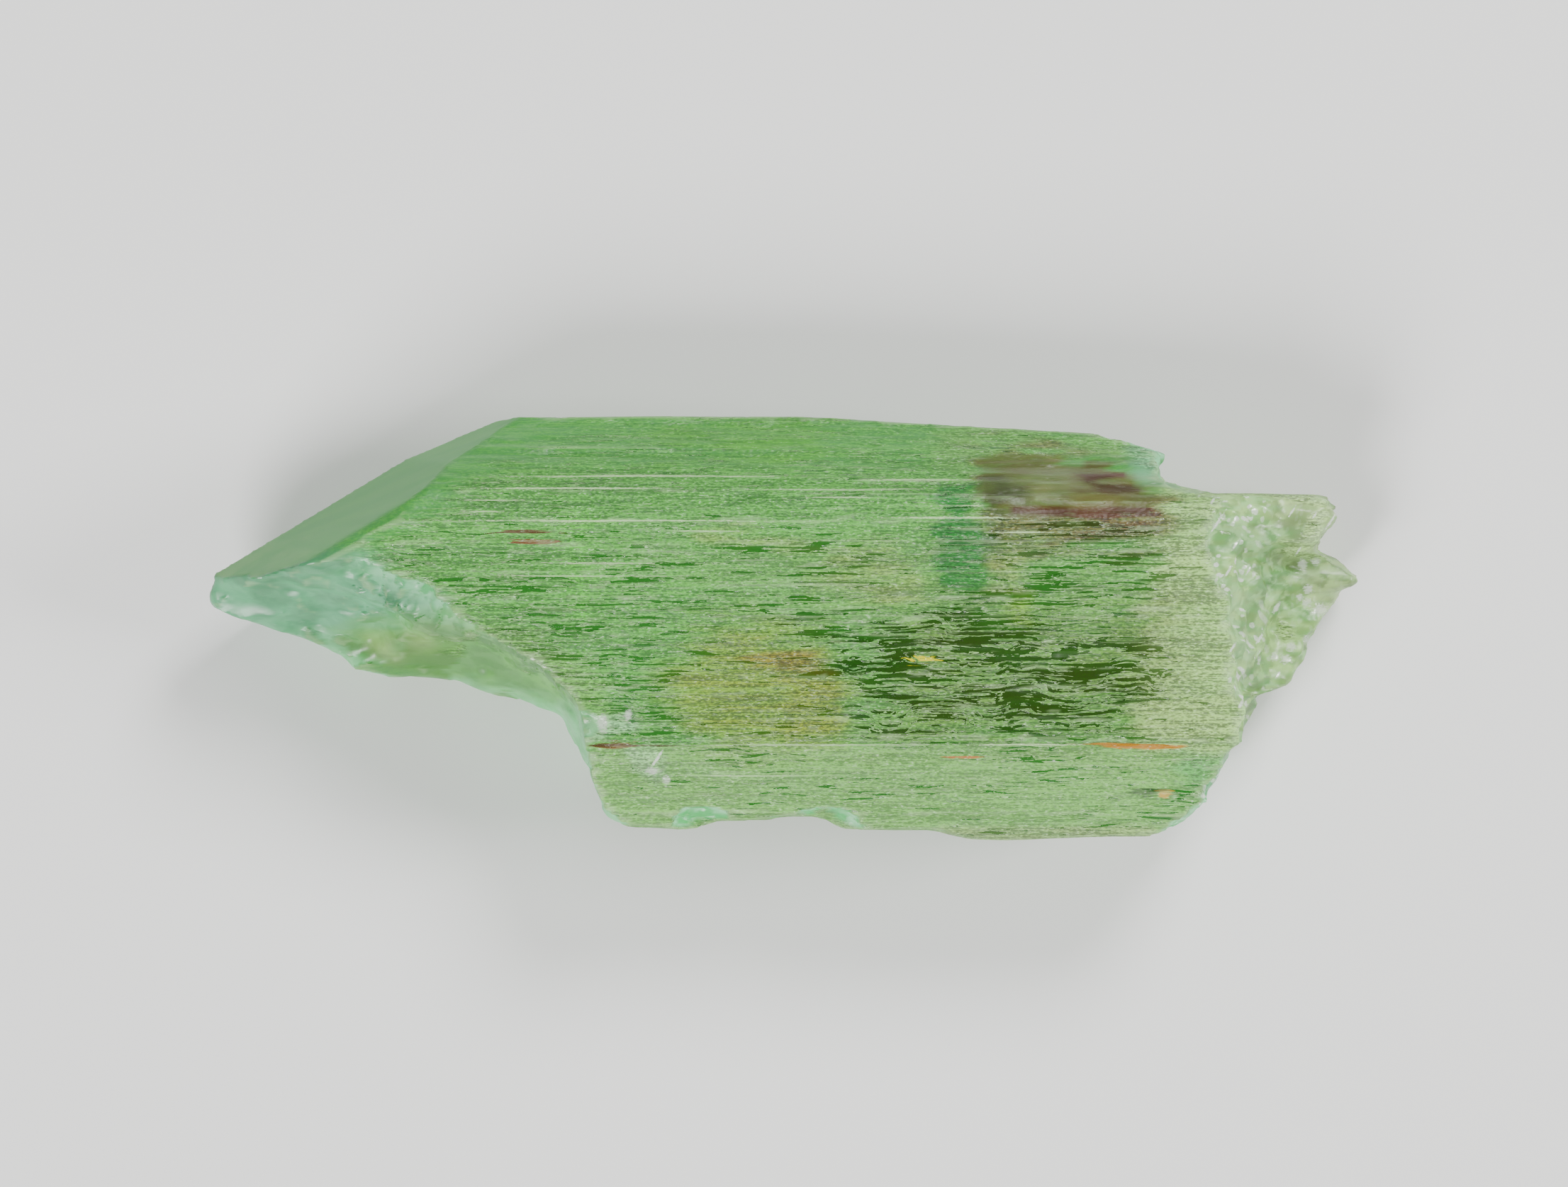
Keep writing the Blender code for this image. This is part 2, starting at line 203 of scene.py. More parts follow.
@dataclass
class Points:
    """The fine mesh's points as arrays, in millimetres, with what they are next to.

    Attributes:
        place: Positions, one row per point.
        out: Outward normals.
        edges: Index pairs of neighbouring points.
        count: How many neighbours each point has.
    """

    place: np.ndarray
    out: np.ndarray
    edges: np.ndarray
    count: np.ndarray = field(init=False)

    def __post_init__(self) -> None:
        """Counts each point's neighbours."""
        self.count = np.bincount(self.edges.ravel(), minlength=len(self.place)).clip(1)

    def spread(self, values: np.ndarray, rounds: int) -> np.ndarray:
        """Averages values over neighbouring points.

        Args:
            values: One value or one row per point.
            rounds: How many times to average.

        Returns:
            The smoothed values.
        """
        a, b = self.edges.T
        count = self.count if values.ndim == 1 else self.count[:, None]
        for _ in range(rounds):
            total = np.zeros_like(values)
            np.add.at(total, a, values[b])
            np.add.at(total, b, values[a])
            values = 0.5 * values + 0.5 * total / count
        return values

    def bulge(self, rounds: int) -> np.ndarray:
        """How far each point stands out of its surroundings, in millimetres: positive on ridges."""
        return ((self.place - self.spread(self.place, rounds)) * self.out).sum(axis=1)


@dataclass(frozen=True)
class LathSet:
    """Growth laths of one width, which striate the prism faces.

    Attributes:
        width: Mean width across the crystal.
        run: Length over which a lath rises or sinks.
        depth: How deep the lowest ones lie.
        seed: Which random laths.
    """

    width: float
    run: float
    depth: float
    seed: int

    def sink(self, across: np.ndarray, along: np.ndarray, lattice: Lattice) -> np.ndarray:
        """How deep the surface lies below the highest lath.

        Args:
            across: Distance round the crystal's section.
            along: Distance along the crystal.
            lattice: Where the random values come from.

        Returns:
            Depths from 0 to the set's depth.
        """
        place = across / self.width
        number = np.floor(place + 0.9 * lattice.read(place * 0.43, 3.1, self.seed))
        level = lattice.pick(number, self.seed)
        rise = lattice.read(along / self.run, number * 0.737, 11.0 + self.seed)
        return self.depth * level * smoothstep(0.32, 0.62, rise)


@dataclass(frozen=True)
class Area:
    """Part of the crystal, drawn round on the view from above.

    Attributes:
        outline: Corners as (x, y).
        soft: Width over which it fades, half of it outside the outline.
        ragged: How far its rim wanders.
        low: Lowest height at which it shows.
    """

    outline: Outline
    soft: float
    ragged: float
    low: float = field(default=3.0, kw_only=True)

    def mask(self, place: np.ndarray, lattice: Lattice) -> np.ndarray:
        """The share of the area at each point.

        Args:
            place: Positions, one row per point.
            lattice: Where the rim's wander comes from.

        Returns:
            Values from 0 outside to 1 inside.
        """
        x, y, z = place.T
        gap = np.full(len(place), np.inf)
        inside = np.zeros(len(place), bool)
        for (ax, ay), (bx, by) in zip(self.outline, self.outline[1:] + self.outline[:1]):
            dx, dy = bx - ax, by - ay
            share = ((x - ax) * dx + (y - ay) * dy) / (dx**2 + dy**2)
            share = share.clip(0.0, 1.0)
            gap = np.minimum(gap, np.hypot(x - ax - share * dx, y - ay - share * dy))
            if dy:
                inside ^= ((ay > y) != (by > y)) & (x < dx * (y - ay) / dy + ax)
        wander = lattice.fractal(x / 1.1, y / 0.24, z / 0.9 + self.outline[0][0], 3) - 0.5
        depth = np.where(inside, gap, -gap) + 2.0 * self.ragged * wander
        mask = smoothstep(-0.5 * self.soft, 0.5 * self.soft, depth)
        return mask * smoothstep(self.low - 0.4, self.low, z)


@dataclass(frozen=True)
class Stain(Area):
    """A coloured area inside the crystal or on its skin.

    Attributes:
        colour: Its colour.
        strength: How far it covers the green, from 0 to 1.
        streaky: How far streaks along the crystal break it up, from 0 to 1.
    """

    colour: Colour
    strength: float
    streaky: float = 0.35


@dataclass(frozen=True)
class SkinState(Area):
    """How the etched skin looks in one area.

    Attributes:
        open: Share of clear windows, from 0 to 1.
        deep: How dark they are painted, as shade for the dark seen through them, from 0 to 1.
        veil: How milky the skin is, from 0 to 1.
        smooth: How far it lacks the etched film, from 0 to 1.
    """

    open: float
    deep: float
    veil: float = 0.0
    smooth: float = 0.0


EMERALD: Outline = (
    (4.1, 3.62), (4.91, 3.62), (5.06, 2.6), (5.35, 2.23), (5.35, 0.94), (4.41, 0.89),
    (3.99, 1.59), (3.91, 2.42),
)

# Each row: outline, fade, raggedness, colour, strength, streakiness.
STAINS: tuple[Stain, ...] = (
    # broken end
    Stain(((9.6, 4.2), (15.2, 4.2), (15.2, -3.3), (9.0, -3.3)), 0.8, 0.8, (0.33, 0.53, 0.15), 0.9,
        0.2, low=-1.0),
    # tip
    Stain(((-15.6, 2.4), (-13.0, 2.1), (-11.0, 1.9), (-9.2, 0.6), (-11.5, -0.3), (-15.6, -0.6)),
        1.4, 0.5, (0.1, 0.4, 0.2), 0.9, 0.0, low=-1.0),
    # brown haze
    Stain(((4.87, 4.35), (6.9, 4.54), (8.93, 4.13), (10.04, 3.43), (10.13, 2.69), (9.11, 2.18),
        (6.9, 2.14), (5.33, 2.32), (4.91, 3.43)), 0.7, 1.0, (0.14, 0.1, 0.018), 0.9, 0.15),
    # highest brown band
    Stain(((7.8, 4.33), (8.6, 4.33), (8.6, 4.15), (7.8, 4.15)), 0.1, 0.1, (0.11, 0.055, 0.0), 0.8,
        0.0),
    # upper brown band
    Stain(((7.5, 4.05), (8.9, 4.05), (9.0, 3.83), (7.4, 3.83)), 0.12, 0.12, (0.08, 0.012, 0.0),
        0.95, 0.0),
    # middle brown band
    Stain(((7.5, 3.78), (9.2, 3.78), (9.3, 3.48), (7.3, 3.48)), 0.14, 0.15, (0.055, 0.014, 0.0),
        0.9, 0.0),
    # lower brown band
    Stain(((5.9, 3.15), (9.7, 3.18), (9.8, 2.92), (8.4, 2.8), (7.2, 2.88), (5.9, 2.98)), 0.12,
        0.12, (0.09, 0.018, 0.0), 0.98, 0.0),
    # golden speckles
    Stain(((7.6, 2.84), (10.2, 2.84), (10.4, 2.58), (9.9, 2.44), (7.7, 2.44)), 0.25, 0.4,
        (0.08, 0.035, 0.0), 0.9, 0.5),
    # dark smudge
    Stain(((5.45, 3.8), (6.3, 3.75), (6.35, 3.32), (5.45, 3.32)), 0.35, 0.12, (0.07, 0.08, 0.03),
        0.75, 0.2),
    # pale haze
    Stain(((6.16, 4.26), (7.64, 4.35), (7.82, 3.62), (6.35, 3.34)), 0.6, 0.8, (0.24, 0.29, 0.11),
        0.6),
    # emerald
    Stain(EMERALD, 0.3, 0.7, (0.0, 0.18, 0.01), 1.0, 0.1),
    # dark band
    Stain(((4.98, 3.8), (5.65, 3.8), (5.65, 1.03), (5.39, 1.03), (5.15, 2.6)), 0.3, 0.6,
        (0.03, 0.04, 0.0), 0.6, 0.4),
    # yellow-green band
    Stain(((-5.54, 3.62), (-5.13, 3.62), (-5.09, -0.07), (-5.57, 0.02)), 0.5, 0.5,
        (0.06, 0.5, 0.0), 0.4),
    # yellow-green patch
    Stain(((5.89, 1.07), (6.49, 1.0), (6.38, 0.02), (5.94, 0.11)), 0.4, 0.5, (0.24, 0.52, 0.0),
        0.6),
    # olive side
    Stain(((2.84, 0.66), (10.04, 0.85), (10.22, -2.93), (2.47, -2.93)), 2.0, 0.8,
        (0.095, 0.115, 0.0), 0.55),
    # tan
    Stain(((-2.3, -0.1), (-0.85, 0.25), (-0.11, -0.15), (1.05, -0.65), (1.5, -1.37), (1.45, -2.75),
        (-0.3, -3.06), (-1.8, -3.0), (-3.3, -1.9)), 1.6, 0.8, (0.21, 0.27, 0.0), 0.8, 0.3),
    # tan rim
    Stain(((0.2, -0.55), (1.05, -0.65), (1.5, -1.37), (1.55, -2.8), (0.1, -2.95)), 0.3, 0.35,
        (0.2, 0.25, 0.0), 0.6, 0.3),
    # tan streak
    Stain(((-1.03, -0.59), (0.81, -0.66), (1.42, -1.14), (0.26, -1.27), (-1.03, -1.09)), 0.5, 0.9,
        (0.21, 0.14, 0.0), 0.75, 0.6),
    # glassy corner
    Stain(((8.9, 4.7), (10.2, 4.9), (10.2, 3.75), (9.3, 3.8)), 0.4, 0.25, (0.15, 0.5, 0.25), 0.85,
        0.3),
    # pale hem
    Stain(((4.0, -5.15), (9.7, -5.15), (9.7, -5.7), (4.0, -5.7)), 0.2, 0.1, (0.34, 0.44, 0.16),
        0.7, 0.3),
    # knocked edge
    Stain(((-5.15, -2.35), (-3.9, -2.05), (-3.75, -2.6), (-5.15, -2.95)), 0.15, 0.15,
        (0.28, 0.58, 0.28), 0.7, 0.3),
    # knocked face
    Stain(((-4.1, -3.1), (-3.3, -3.05), (-3.0, -3.6), (-3.2, -4.2), (-3.9, -3.7)), 0.15, 0.15,
        (0.3, 0.6, 0.26), 0.7, 0.3),
    # splinters
    Stain(((12.6, 3.6), (15.2, 3.6), (15.2, -0.6), (13.7, 0.6), (12.9, 2.0)), 0.8, 0.5,
        (0.4, 0.54, 0.22), 0.75, 0.2, low=-1.0),
    # pink veil
    Stain(((1.37, 2.05), (2.47, 2.05), (3.58, 1.59), (3.67, 0.76), (2.47, 0.66), (1.37, 1.03)),
        0.7, 0.9, (0.21, 0.33, 0.05), 0.7, 0.5),
    # pink strip
    Stain(((-2.23, 2.55), (0.44, 2.47), (1.37, 1.77), (0.26, 1.86), (-1.22, 2.14), (-2.23, 2.18)),
        0.3, 0.5, (0.25, 0.36, 0.07), 0.5, 0.5),
    # pink patch
    Stain(((0.44, 1.49), (1.73, 1.49), (1.73, 0.76), (0.63, 0.76)), 0.5, 0.6, (0.2, 0.34, 0.05),
        0.6, 0.5),
    # pink spot
    Stain(((5.28, 1.86), (6.16, 1.96), (6.16, 1.03), (5.33, 1.03)), 0.4, 0.5, (0.28, 0.34, 0.07),
        0.65, 0.4),
    # tan end
    Stain(((9.11, -1.83), (11.61, -1.73), (11.33, -2.99), (8.93, -3.03)), 0.8, 0.8,
        (0.3, 0.49, 0.12), 0.7, 0.3),
    # emerald end
    Stain(((10.22, -3.21), (11.79, -3.21), (10.96, -4.5), (10.04, -4.5)), 0.6, 0.6,
        (0.01, 0.3, 0.06), 0.55, low=0.8),
    # flake
    Stain(((-11.18, 0.11), (-8.6, 0.3), (-6.38, -0.26), (-4.72, -1.37), (-4.54, -2.29),
        (-7.49, -1.64), (-10.07, -1.09), (-11.73, -0.26)), 0.8, 0.3, (0.13, 0.37, 0.05), 0.85, 0.0,
        low=0.0),
    # glow, a painted highlight
    Stain(((-10.9, -0.22), (-10.17, -0.22), (-10.07, -0.85), (-10.81, -0.85)), 0.7, 0.1,
        (0.36, 0.56, 0.14), 0.6, 0.0, low=0.0),
    # second glow, a painted highlight
    Stain(((-9.8, -0.11), (-9.19, -0.07), (-9.11, -0.54), (-9.74, -0.59)), 0.6, 0.1,
        (0.36, 0.54, 0.14), 0.5, 0.0, low=0.0),
    # yellow band
    Stain(((-3.8, 5.55), (1.37, 5.55), (0.81, 4.54), (-2.69, 4.54)), 1.0, 0.9, (0.08, 0.36, 0.0),
        0.5),
)

# Each row: outline, fade, raggedness, windows, their darkness, veil, smoothness.
STATES: tuple[SkinState, ...] = (
    # upper band
    SkinState(((-11.18, 6.01), (12.8, 6.01), (12.8, 3.43), (5.42, 2.23), (-11.18, 2.23)), 0.8, 0.6,
        0.24, 0.15),
    # top edge
    SkinState(((-8.0, 6.2), (12.8, 6.2), (12.8, 4.6), (4.0, 4.3), (-9.2, 4.2)), 0.9, 0.5, 0.1, 0.1,
        0.0, 0.45),
    # beside the point
    SkinState(((-6.4, 6.2), (-13.6, 1.6), (-11.6, 1.7), (-9.6, 2.9), (-7.6, 4.3), (-4.6, 6.2)),
        1.8, 0.6, 0.1, 0.1, 0.0, 0.95),
    # upper right haze
    SkinState(((4.13, 5.46), (9.85, 5.28), (9.85, 3.62), (4.13, 4.17)), 1.2, 0.8, 0.18, 0.15, 0.2),
    # left windows
    SkinState(((-10.07, 1.59), (-6.38, 1.59), (-1.96, -0.07), (-1.22, -2.29), (-4.72, -2.84),
        (-7.49, -1.18)), 1.0, 0.8, 0.62, 0.25),
    # middle
    SkinState(((-3.8, 2.14), (9.85, 2.14), (9.85, 0.11), (-0.11, -0.26)), 1.2, 0.8, 0.5, 0.45,
        0.1),
    # main windows
    SkinState(((-0.48, -0.3), (1.37, 0.0), (4.13, 0.3), (7.27, 0.05), (10.04, -0.25),
        (9.85, -1.37), (9.11, -2.1), (8.56, -2.92), (5.42, -2.95), (1.73, -2.95), (1.51, -1.37)),
        0.7, 0.9, 0.84, 1.0, 0.03),
    # brown windows
    SkinState(((5.0, 2.9), (10.2, 2.9), (10.3, 2.4), (5.0, 2.2)), 0.3, 0.15, 0.55, 0.8),
    # brown gloss
    SkinState(((5.0, 4.5), (8.93, 4.5), (10.1, 3.8), (9.9, 2.86), (5.8, 2.86), (5.0, 3.2)), 0.25,
        0.12, 0.15, 0.5, 0.05, 0.8),
    # emerald gloss
    SkinState(EMERALD, 0.3, 0.7, 0.45, 0.3, 0.0, 0.3),
    # tan
    SkinState(((-2.88, -0.26), (-0.85, 0.11), (1.0, -0.72), (1.48, -1.37), (1.55, -2.95),
        (-2.88, -2.95)), 0.8, 0.35, 0.34, 0.3),
    # lower band
    SkinState(((-7.49, -3.06), (12.07, -3.06), (12.07, -6.9), (-7.49, -6.9)), 0.1, 0.02, 0.3, 0.12,
        0.34),
    # right end
    SkinState(((9.85, 3.43), (14.65, 3.43), (14.65, -3.21), (8.93, -3.21), (9.85, -1.73)), 0.8,
        0.8, 0.1, 0.2, 0.3, low=-1.0),
    # flake
    SkinState(((-14.5, 0.0), (-11.0, -0.2), (-7.2, -1.0), (-5.0, -2.2), (-5.1, -3.4),
        (-14.5, -3.4)), 0.5, 0.1, -0.5, 0.2, 0.05, 1.0, low=-1.0),
    # tip
    SkinState(((-15.61, 2.32), (-13.03, 1.96), (-11.2, 1.9), (-9.6, 0.9), (-8.4, 0.2),
        (-9.0, -0.6), (-15.61, -0.6)), 1.2, 0.6, -0.5, 0.2, 0.15, 1.0),
)


@dataclass
class CrystalBody:
    """The whole crystal.

    Attributes:
        section: Corners of the uncut prism as (y, z), which give the distance round it.
        grain: Size of the fine mesh's faces across the crystal.
        stretch: How far the solid is shortened in x, y and z while the fine mesh is made.
        laths: The growth laths, from wide to narrow.
        etch_depth: Depth of the etched windows.
        hackle_depth: Height of the hackle on the fractures.
        step_run: Run of the chip's steps, which cross its ridge.
        step_depth: Their height.
        skin_slope: Faces that turn more than this towards the ends aren't prism faces.
        point_end: The termination's faces lie to the left of this.
        whole: Between these two places along the crystal, its broad face is whole.
        worn_height: How far a ridge stands out where it is painted palest.
        sharp_angle: Edges that turn more than this stay sharp.
        stains: Coloured areas.
        states: How the skin looks by area, later ones over earlier ones.
        lattice: Where the random values come from.
        points: The fine mesh's points.
        zones: Share of each kind of surface at each point.
        skin: Share of windows, their darkness, the veil and the smoothness, one row per point.
    """

    section: Outline = (
        (-5.55, 4.55), (-4.80, 5.05), (-3.05, 5.50), (-2.93, 5.62), (2.79, 5.80), (3.58, 5.52),
        (3.95, 5.22), (5.55, 3.45), (5.40, 2.85), (3.20, 0.00), (-3.60, 0.00), (-5.30, 2.90),
    )
    grain: float = 0.072
    stretch: tuple[float, float, float] = (0.38, 1.0, 0.62)
    laths: tuple[LathSet, ...] = (
        LathSet(width=0.42, run=6.0, depth=0.055, seed=1),
        LathSet(width=0.19, run=3.2, depth=0.045, seed=2),
        LathSet(width=0.11, run=1.6, depth=0.030, seed=3),
    )
    etch_depth: float = 0.025
    hackle_depth: float = 0.15
    step_run: float = 0.36
    step_depth: float = 0.11
    skin_slope: float = 0.10
    point_end: float = -6.5
    whole: tuple[float, float] = (-4.2, 8.0)
    worn_height: float = 0.012
    sharp_angle: float = math.radians(38.0)
    stains: tuple[Stain, ...] = STAINS
    states: tuple[SkinState, ...] = STATES
    lattice: Lattice = field(default_factory=lambda: Lattice(41))
    points: Points = field(init=False)
    zones: dict[Zone, np.ndarray] = field(init=False)
    skin: np.ndarray = field(init=False)

    def build(self, frame: dict) -> bpy.types.Object:
        """Makes the piece from a copy of its solid.


        Returns:
            The crystal, at the origin.
        """
        solid = self.merged_copy(frame["nodes"][NODE])
        kinds = self.classify(solid)
        crystal = self.remesh(solid)
        self.points = self.read_points(crystal)
        self.refine(crystal, self.zones_of(solid, kinds)[Zone.FRACTURE])
        points = self.points = self.read_points(crystal)
        self.zones = self.zones_of(solid, kinds)
        self.skin = self.skin_state()
        hackle, facet_shading = self.hackle()
        low, high = (np.array(corner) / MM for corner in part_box(NODE))
        moved = points.place - self.relief(hackle)[:, None] * points.out
        points.place = np.clip(moved, low, high)
        crystal.data.vertices.foreach_set("co", (points.place * MM).astype(np.float32).ravel())
        crystal.data.update()
        self.store(crystal, self.fields(facet_shading), self.stain())
        crystal.data.shade_smooth()
        crystal.data.set_sharp_from_angle(angle=self.sharp_angle)
        return crystal

    def fields(self, facet_shading: np.ndarray) -> dict[str, np.ndarray]:
        """What the material reads at each point.

        Args:
            facet_shading: How pale a break's facets are painted, as light and shade of the facets.

        Returns:
            One array for each attribute.
        """
        points, across, fractal = self.points, self.across(), self.lattice.fractal
        x, y, z = points.place.T
        broken, pointed = self.zones[Zone.FRACTURE], self.zones[Zone.TERMINATION]
        ridge = points.spread(np.clip(points.bulge(3) / self.worn_height, 0.0, 1.0), 1)
        blotch = fractal(x, across / 0.36, 37.0, 3) - 0.5
        swerve = fractal(x / 0.9, across / 0.6, 43.0, 2) - 0.5
        opened, deep, veil, smooth = self.skin.T
        return {
            "fracture": broken,
            "termination": pointed,
            "facet_shading": facet_shading,
            "deep": deep,
            "veil": veil,
            "smooth": smooth,
            "ridge": ridge * (1.0 - 6.0 * points.spread(pointed, 8)).clip(0.0, 1.0),
            "hackled": broken * (1.0 - self.calm()),
            "cover": 0.21 - 0.25 * opened + (0.24 + 0.18 * deep) * blotch,
            "swerve": (0.10 + 0.28 * deep * smoothstep(0.6, 0.8, opened)) * swerve,
            "upward": smoothstep(0.05, 0.35, points.out[:, 2]),
            "band": smoothstep(0.32, 0.68, fractal(x / 3.6, across / 0.26, 17.0, 3)),
            "cloud": smoothstep(0.35, 0.65, fractal(x / 0.9, y / 0.8, z / 0.8 + 21.0, 4)),
        }

    def merged_copy(self, node: bpy.types.Object) -> bmesh.types.BMesh:
        """A copy of the solid as one connected mesh.

        Args:
            node: The CAD node, which stays as it is.

        Returns:
            The copy, in metres.
        """
        bm = bmesh.new()
        bm.from_mesh(node.data)
        bmesh.ops.remove_doubles(bm, verts=bm.verts, dist=MERGE)
        bm.faces.ensure_lookup_table()
        bm.normal_update()
        return bm

    def classify(self, solid: bmesh.types.BMesh) -> np.ndarray:
        """Tells prism faces, termination faces and fractures apart.

        Args:
            solid: The merged copy.

        Returns:
            One row per face: its share of fracture and of termination.
        """
        kinds = np.zeros((len(solid.faces), 2))
        left, right = self.whole
        for face in solid.faces:
            middle = face.calc_center_median() / MM
            slope = face.normal
            pointed = middle.x < self.point_end and slope.x < -0.25 and slope.y > 0.4
            smooth = abs(slope.y + 1.7 * slope.x) < 0.22 or slope.y > 0.70
            whole = left < middle.x < right and middle.y > -4.6
            if pointed and smooth:
                kinds[face.index] = (0.0, 1.0)
            elif abs(slope.x) > self.skin_slope and not whole:
                kinds[face.index] = (1.0, 0.0)
        for _ in range(2):
            blend = kinds.copy()
            for face in solid.faces:
                near = {other.index for edge in face.edges for other in edge.link_faces}
                blend[face.index] = np.mean([kinds[i] for i in near], axis=0)
            kinds = np.where(kinds[:, 1:2] > 0.5, kinds, np.round(blend))
        return kinds

    def remesh(self, solid: bmesh.types.BMesh) -> bpy.types.Object:
        """A fine even mesh of the solid, closer across the laths than along them.

        Args:
            solid: The merged copy.

        Returns:
            The new object, in metres.
        """
        squeeze = Matrix.Diagonal((*(share / MM for share in self.stretch), 1.0))
        mesh = bpy.data.meshes.new("crystal_coarse")
        solid.to_mesh(mesh)
        mesh.transform(squeeze)
        coarse = bpy.data.objects.new("crystal_coarse", mesh)
        bpy.context.scene.collection.objects.link(coarse)
        remesh = coarse.modifiers.new("fine", "REMESH")
        remesh.mode = "VOXEL"
        remesh.voxel_size = self.grain
        bpy.context.view_layer.update()
        graph = bpy.context.evaluated_depsgraph_get()
        fine = bpy.data.meshes.new_from_object(coarse.evaluated_get(graph))
        fine.transform(squeeze.inverted())
        bpy.data.objects.remove(coarse, do_unlink=True)
        crystal = bpy.data.objects.new("crystal", fine)
        bpy.context.scene.collection.objects.link(crystal)
        return crystal

    def refine(self, crystal: bpy.types.Object, broken: np.ndarray) -> None:
        """Halves the faces of the fractures that show from above.

        Args:
            crystal: The fine mesh.
            broken: Share of fracture at each point.
        """
        bm = bmesh.new()
        bm.from_mesh(crystal.data)
        edges = [
            edge
            for edge in bm.edges
            if all(broken[vert.index] > 0.5 and vert.normal.z > -0.1 for vert in edge.verts)
        ]
        bmesh.ops.subdivide_edges(bm, edges=edges, cuts=1, use_grid_fill=True)
        bm.to_mesh(crystal.data)
        bm.free()

    def read_points(self, crystal: bpy.types.Object) -> Points:
        """Reads a mesh.

        Args:
            crystal: The fine mesh.

        Returns:
            Its points in millimetres.
        """
        mesh = crystal.data
        place = np.empty(len(mesh.vertices) * 3, np.float32)
        out = np.empty(len(mesh.vertices) * 3, np.float32)
        edges = np.empty(len(mesh.edges) * 2, np.int32)
        mesh.vertices.foreach_get("co", place)
        mesh.vertices.foreach_get("normal", out)
        mesh.edges.foreach_get("vertices", edges)
        return Points(
            place.reshape(-1, 3).astype(float) / MM,
            out.reshape(-1, 3).astype(float),
            edges.reshape(-1, 2),
        )

    def zones_of(self, solid: bmesh.types.BMesh, kinds: np.ndarray) -> dict[Zone, np.ndarray]:
        """Shares of each zone at each point, from the nearest face of the solid.

        Args:
            solid: The merged copy.
            kinds: What classify returned.

        Returns:
            One array from 0 to 1 for each zone.
        """
        tree = BVHTree.FromBMesh(solid)
        points = self.points
        nearest = [tree.find_nearest(Vector(place * MM))[2] for place in points.place]
        shares = points.spread(kinds[nearest], 2)
        x, y, z = points.place.T
        notched = smoothstep(-4.3, -4.7, y) * smoothstep(-4.4, -4.0, x) * smoothstep(8.2, 7.8, x)
        shares[:, 0] *= 1.0 - notched * smoothstep(4.8, 4.3, z)
        steep = smoothstep(0.75, 0.55, points.out[:, 2])
        return {
            Zone.FRACTURE: smoothstep(0.25, 0.75, shares[:, 0]),
            Zone.TERMINATION: smoothstep(0.35, 0.95, points.spread(shares[:, 1] * steep, 3)),
            Zone.SKIN: smoothstep(0.4, 0.9, 1.0 - shares.sum(axis=1)),
        }

    def across(self) -> np.ndarray:
        """Distance of each point round the prism's section.

        Returns:
            Distances in millimetres from the section's first corner.
        """
        place = self.points.place[:, 1:]
        best = np.full(len(place), np.inf)
        distance = np.zeros(len(place))
        start = 0.0
        for corner, after in zip(self.section, self.section[1:] + self.section[:1]):
            a, side = np.array(corner), np.array(after) - np.array(corner)
            length = float(np.hypot(*side))
            share = np.clip((place - a) @ side / length**2, 0.0, 1.0)
            gap = np.hypot(*(place - a - share[:, None] * side).T)
            closer = gap < best
            best[closer] = gap[closer]
            distance[closer] = (start + share * length)[closer]
            start += length
        return distance

    def skin_state(self) -> np.ndarray:
        """How the etched skin looks at each point.

        Returns:
            One row per point: share of windows, their darkness, the veil and the smoothness.
        """
        x, y, z = self.points.place.T
        drift = self.lattice.fractal(x / 3.5, y / 1.2, z / 1.2, 2) - 0.5
        state = np.tile((0.45, 0.25, 0.0, 0.0), (len(x), 1))
        for part in self.states:
            share = part.mask(self.points.place, self.lattice)[:, None]
            target = np.array((part.open, part.deep, part.veil, part.smooth))
            state = state + share * (target - state)
        state[:, 0] += 0.30 * drift
        return state.clip(-0.5, 1.0)

    def stain(self) -> np.ndarray:
        """Colour of the stains at each point.

        Returns:
            One row per point: red, green, blue and the strength.
        """
        x, y, z = self.points.place.T
        streaks = smoothstep(0.62, 0.38, self.lattice.fractal(x / 1.3, y / 0.13, z / 0.4 + 5.0, 3))
        total = np.zeros((len(x), 4))
        for mark in self.stains:
            share = mark.strength * mark.mask(self.points.place, self.lattice)
            share = (share * (1.0 - mark.streaky * streaks))[:, None]
            left = (1.0 - share) * total[:, 3:]
            mixed = share * mark.colour + left * total[:, :3]
            total[:, :3] = mixed / (share + left).clip(1e-6)
            total[:, 3:] = share + left
        return total

    def relief(self, hackle: np.ndarray) -> np.ndarray:
        """How deep each point lies below the solid's surface, in millimetres.

        Args:
            hackle: Depth that a break's relief would have.

        Returns:
            One depth per point, none of them negative.
        """
        x, y, z = self.points.place.T
        across, opened = self.across(), self.skin[:, 0]
        grooves = sum(lath.sink(across, x, self.lattice) for lath in self.laths)
        pits = self.lattice.fractal(x / 0.7, across / 0.14, 2.0, 3) - 0.62 + 0.24 * opened
        etched = self.etch_depth * smoothstep(0.05, -0.05, -pits)
        grooves = grooves * (0.45 + 0.55 * opened) + etched
        above_base = smoothstep(0.05, 0.4, z)
        polish = 0.015 * self.lattice.fractal(x / 0.8, y / 0.5, z / 0.5, 2)
        depth = self.zones[Zone.SKIN] * grooves * above_base
        depth = depth + self.zones[Zone.FRACTURE] * hackle * smoothstep(0.0, 0.3, z)
        return depth + self.zones[Zone.TERMINATION] * polish * above_base

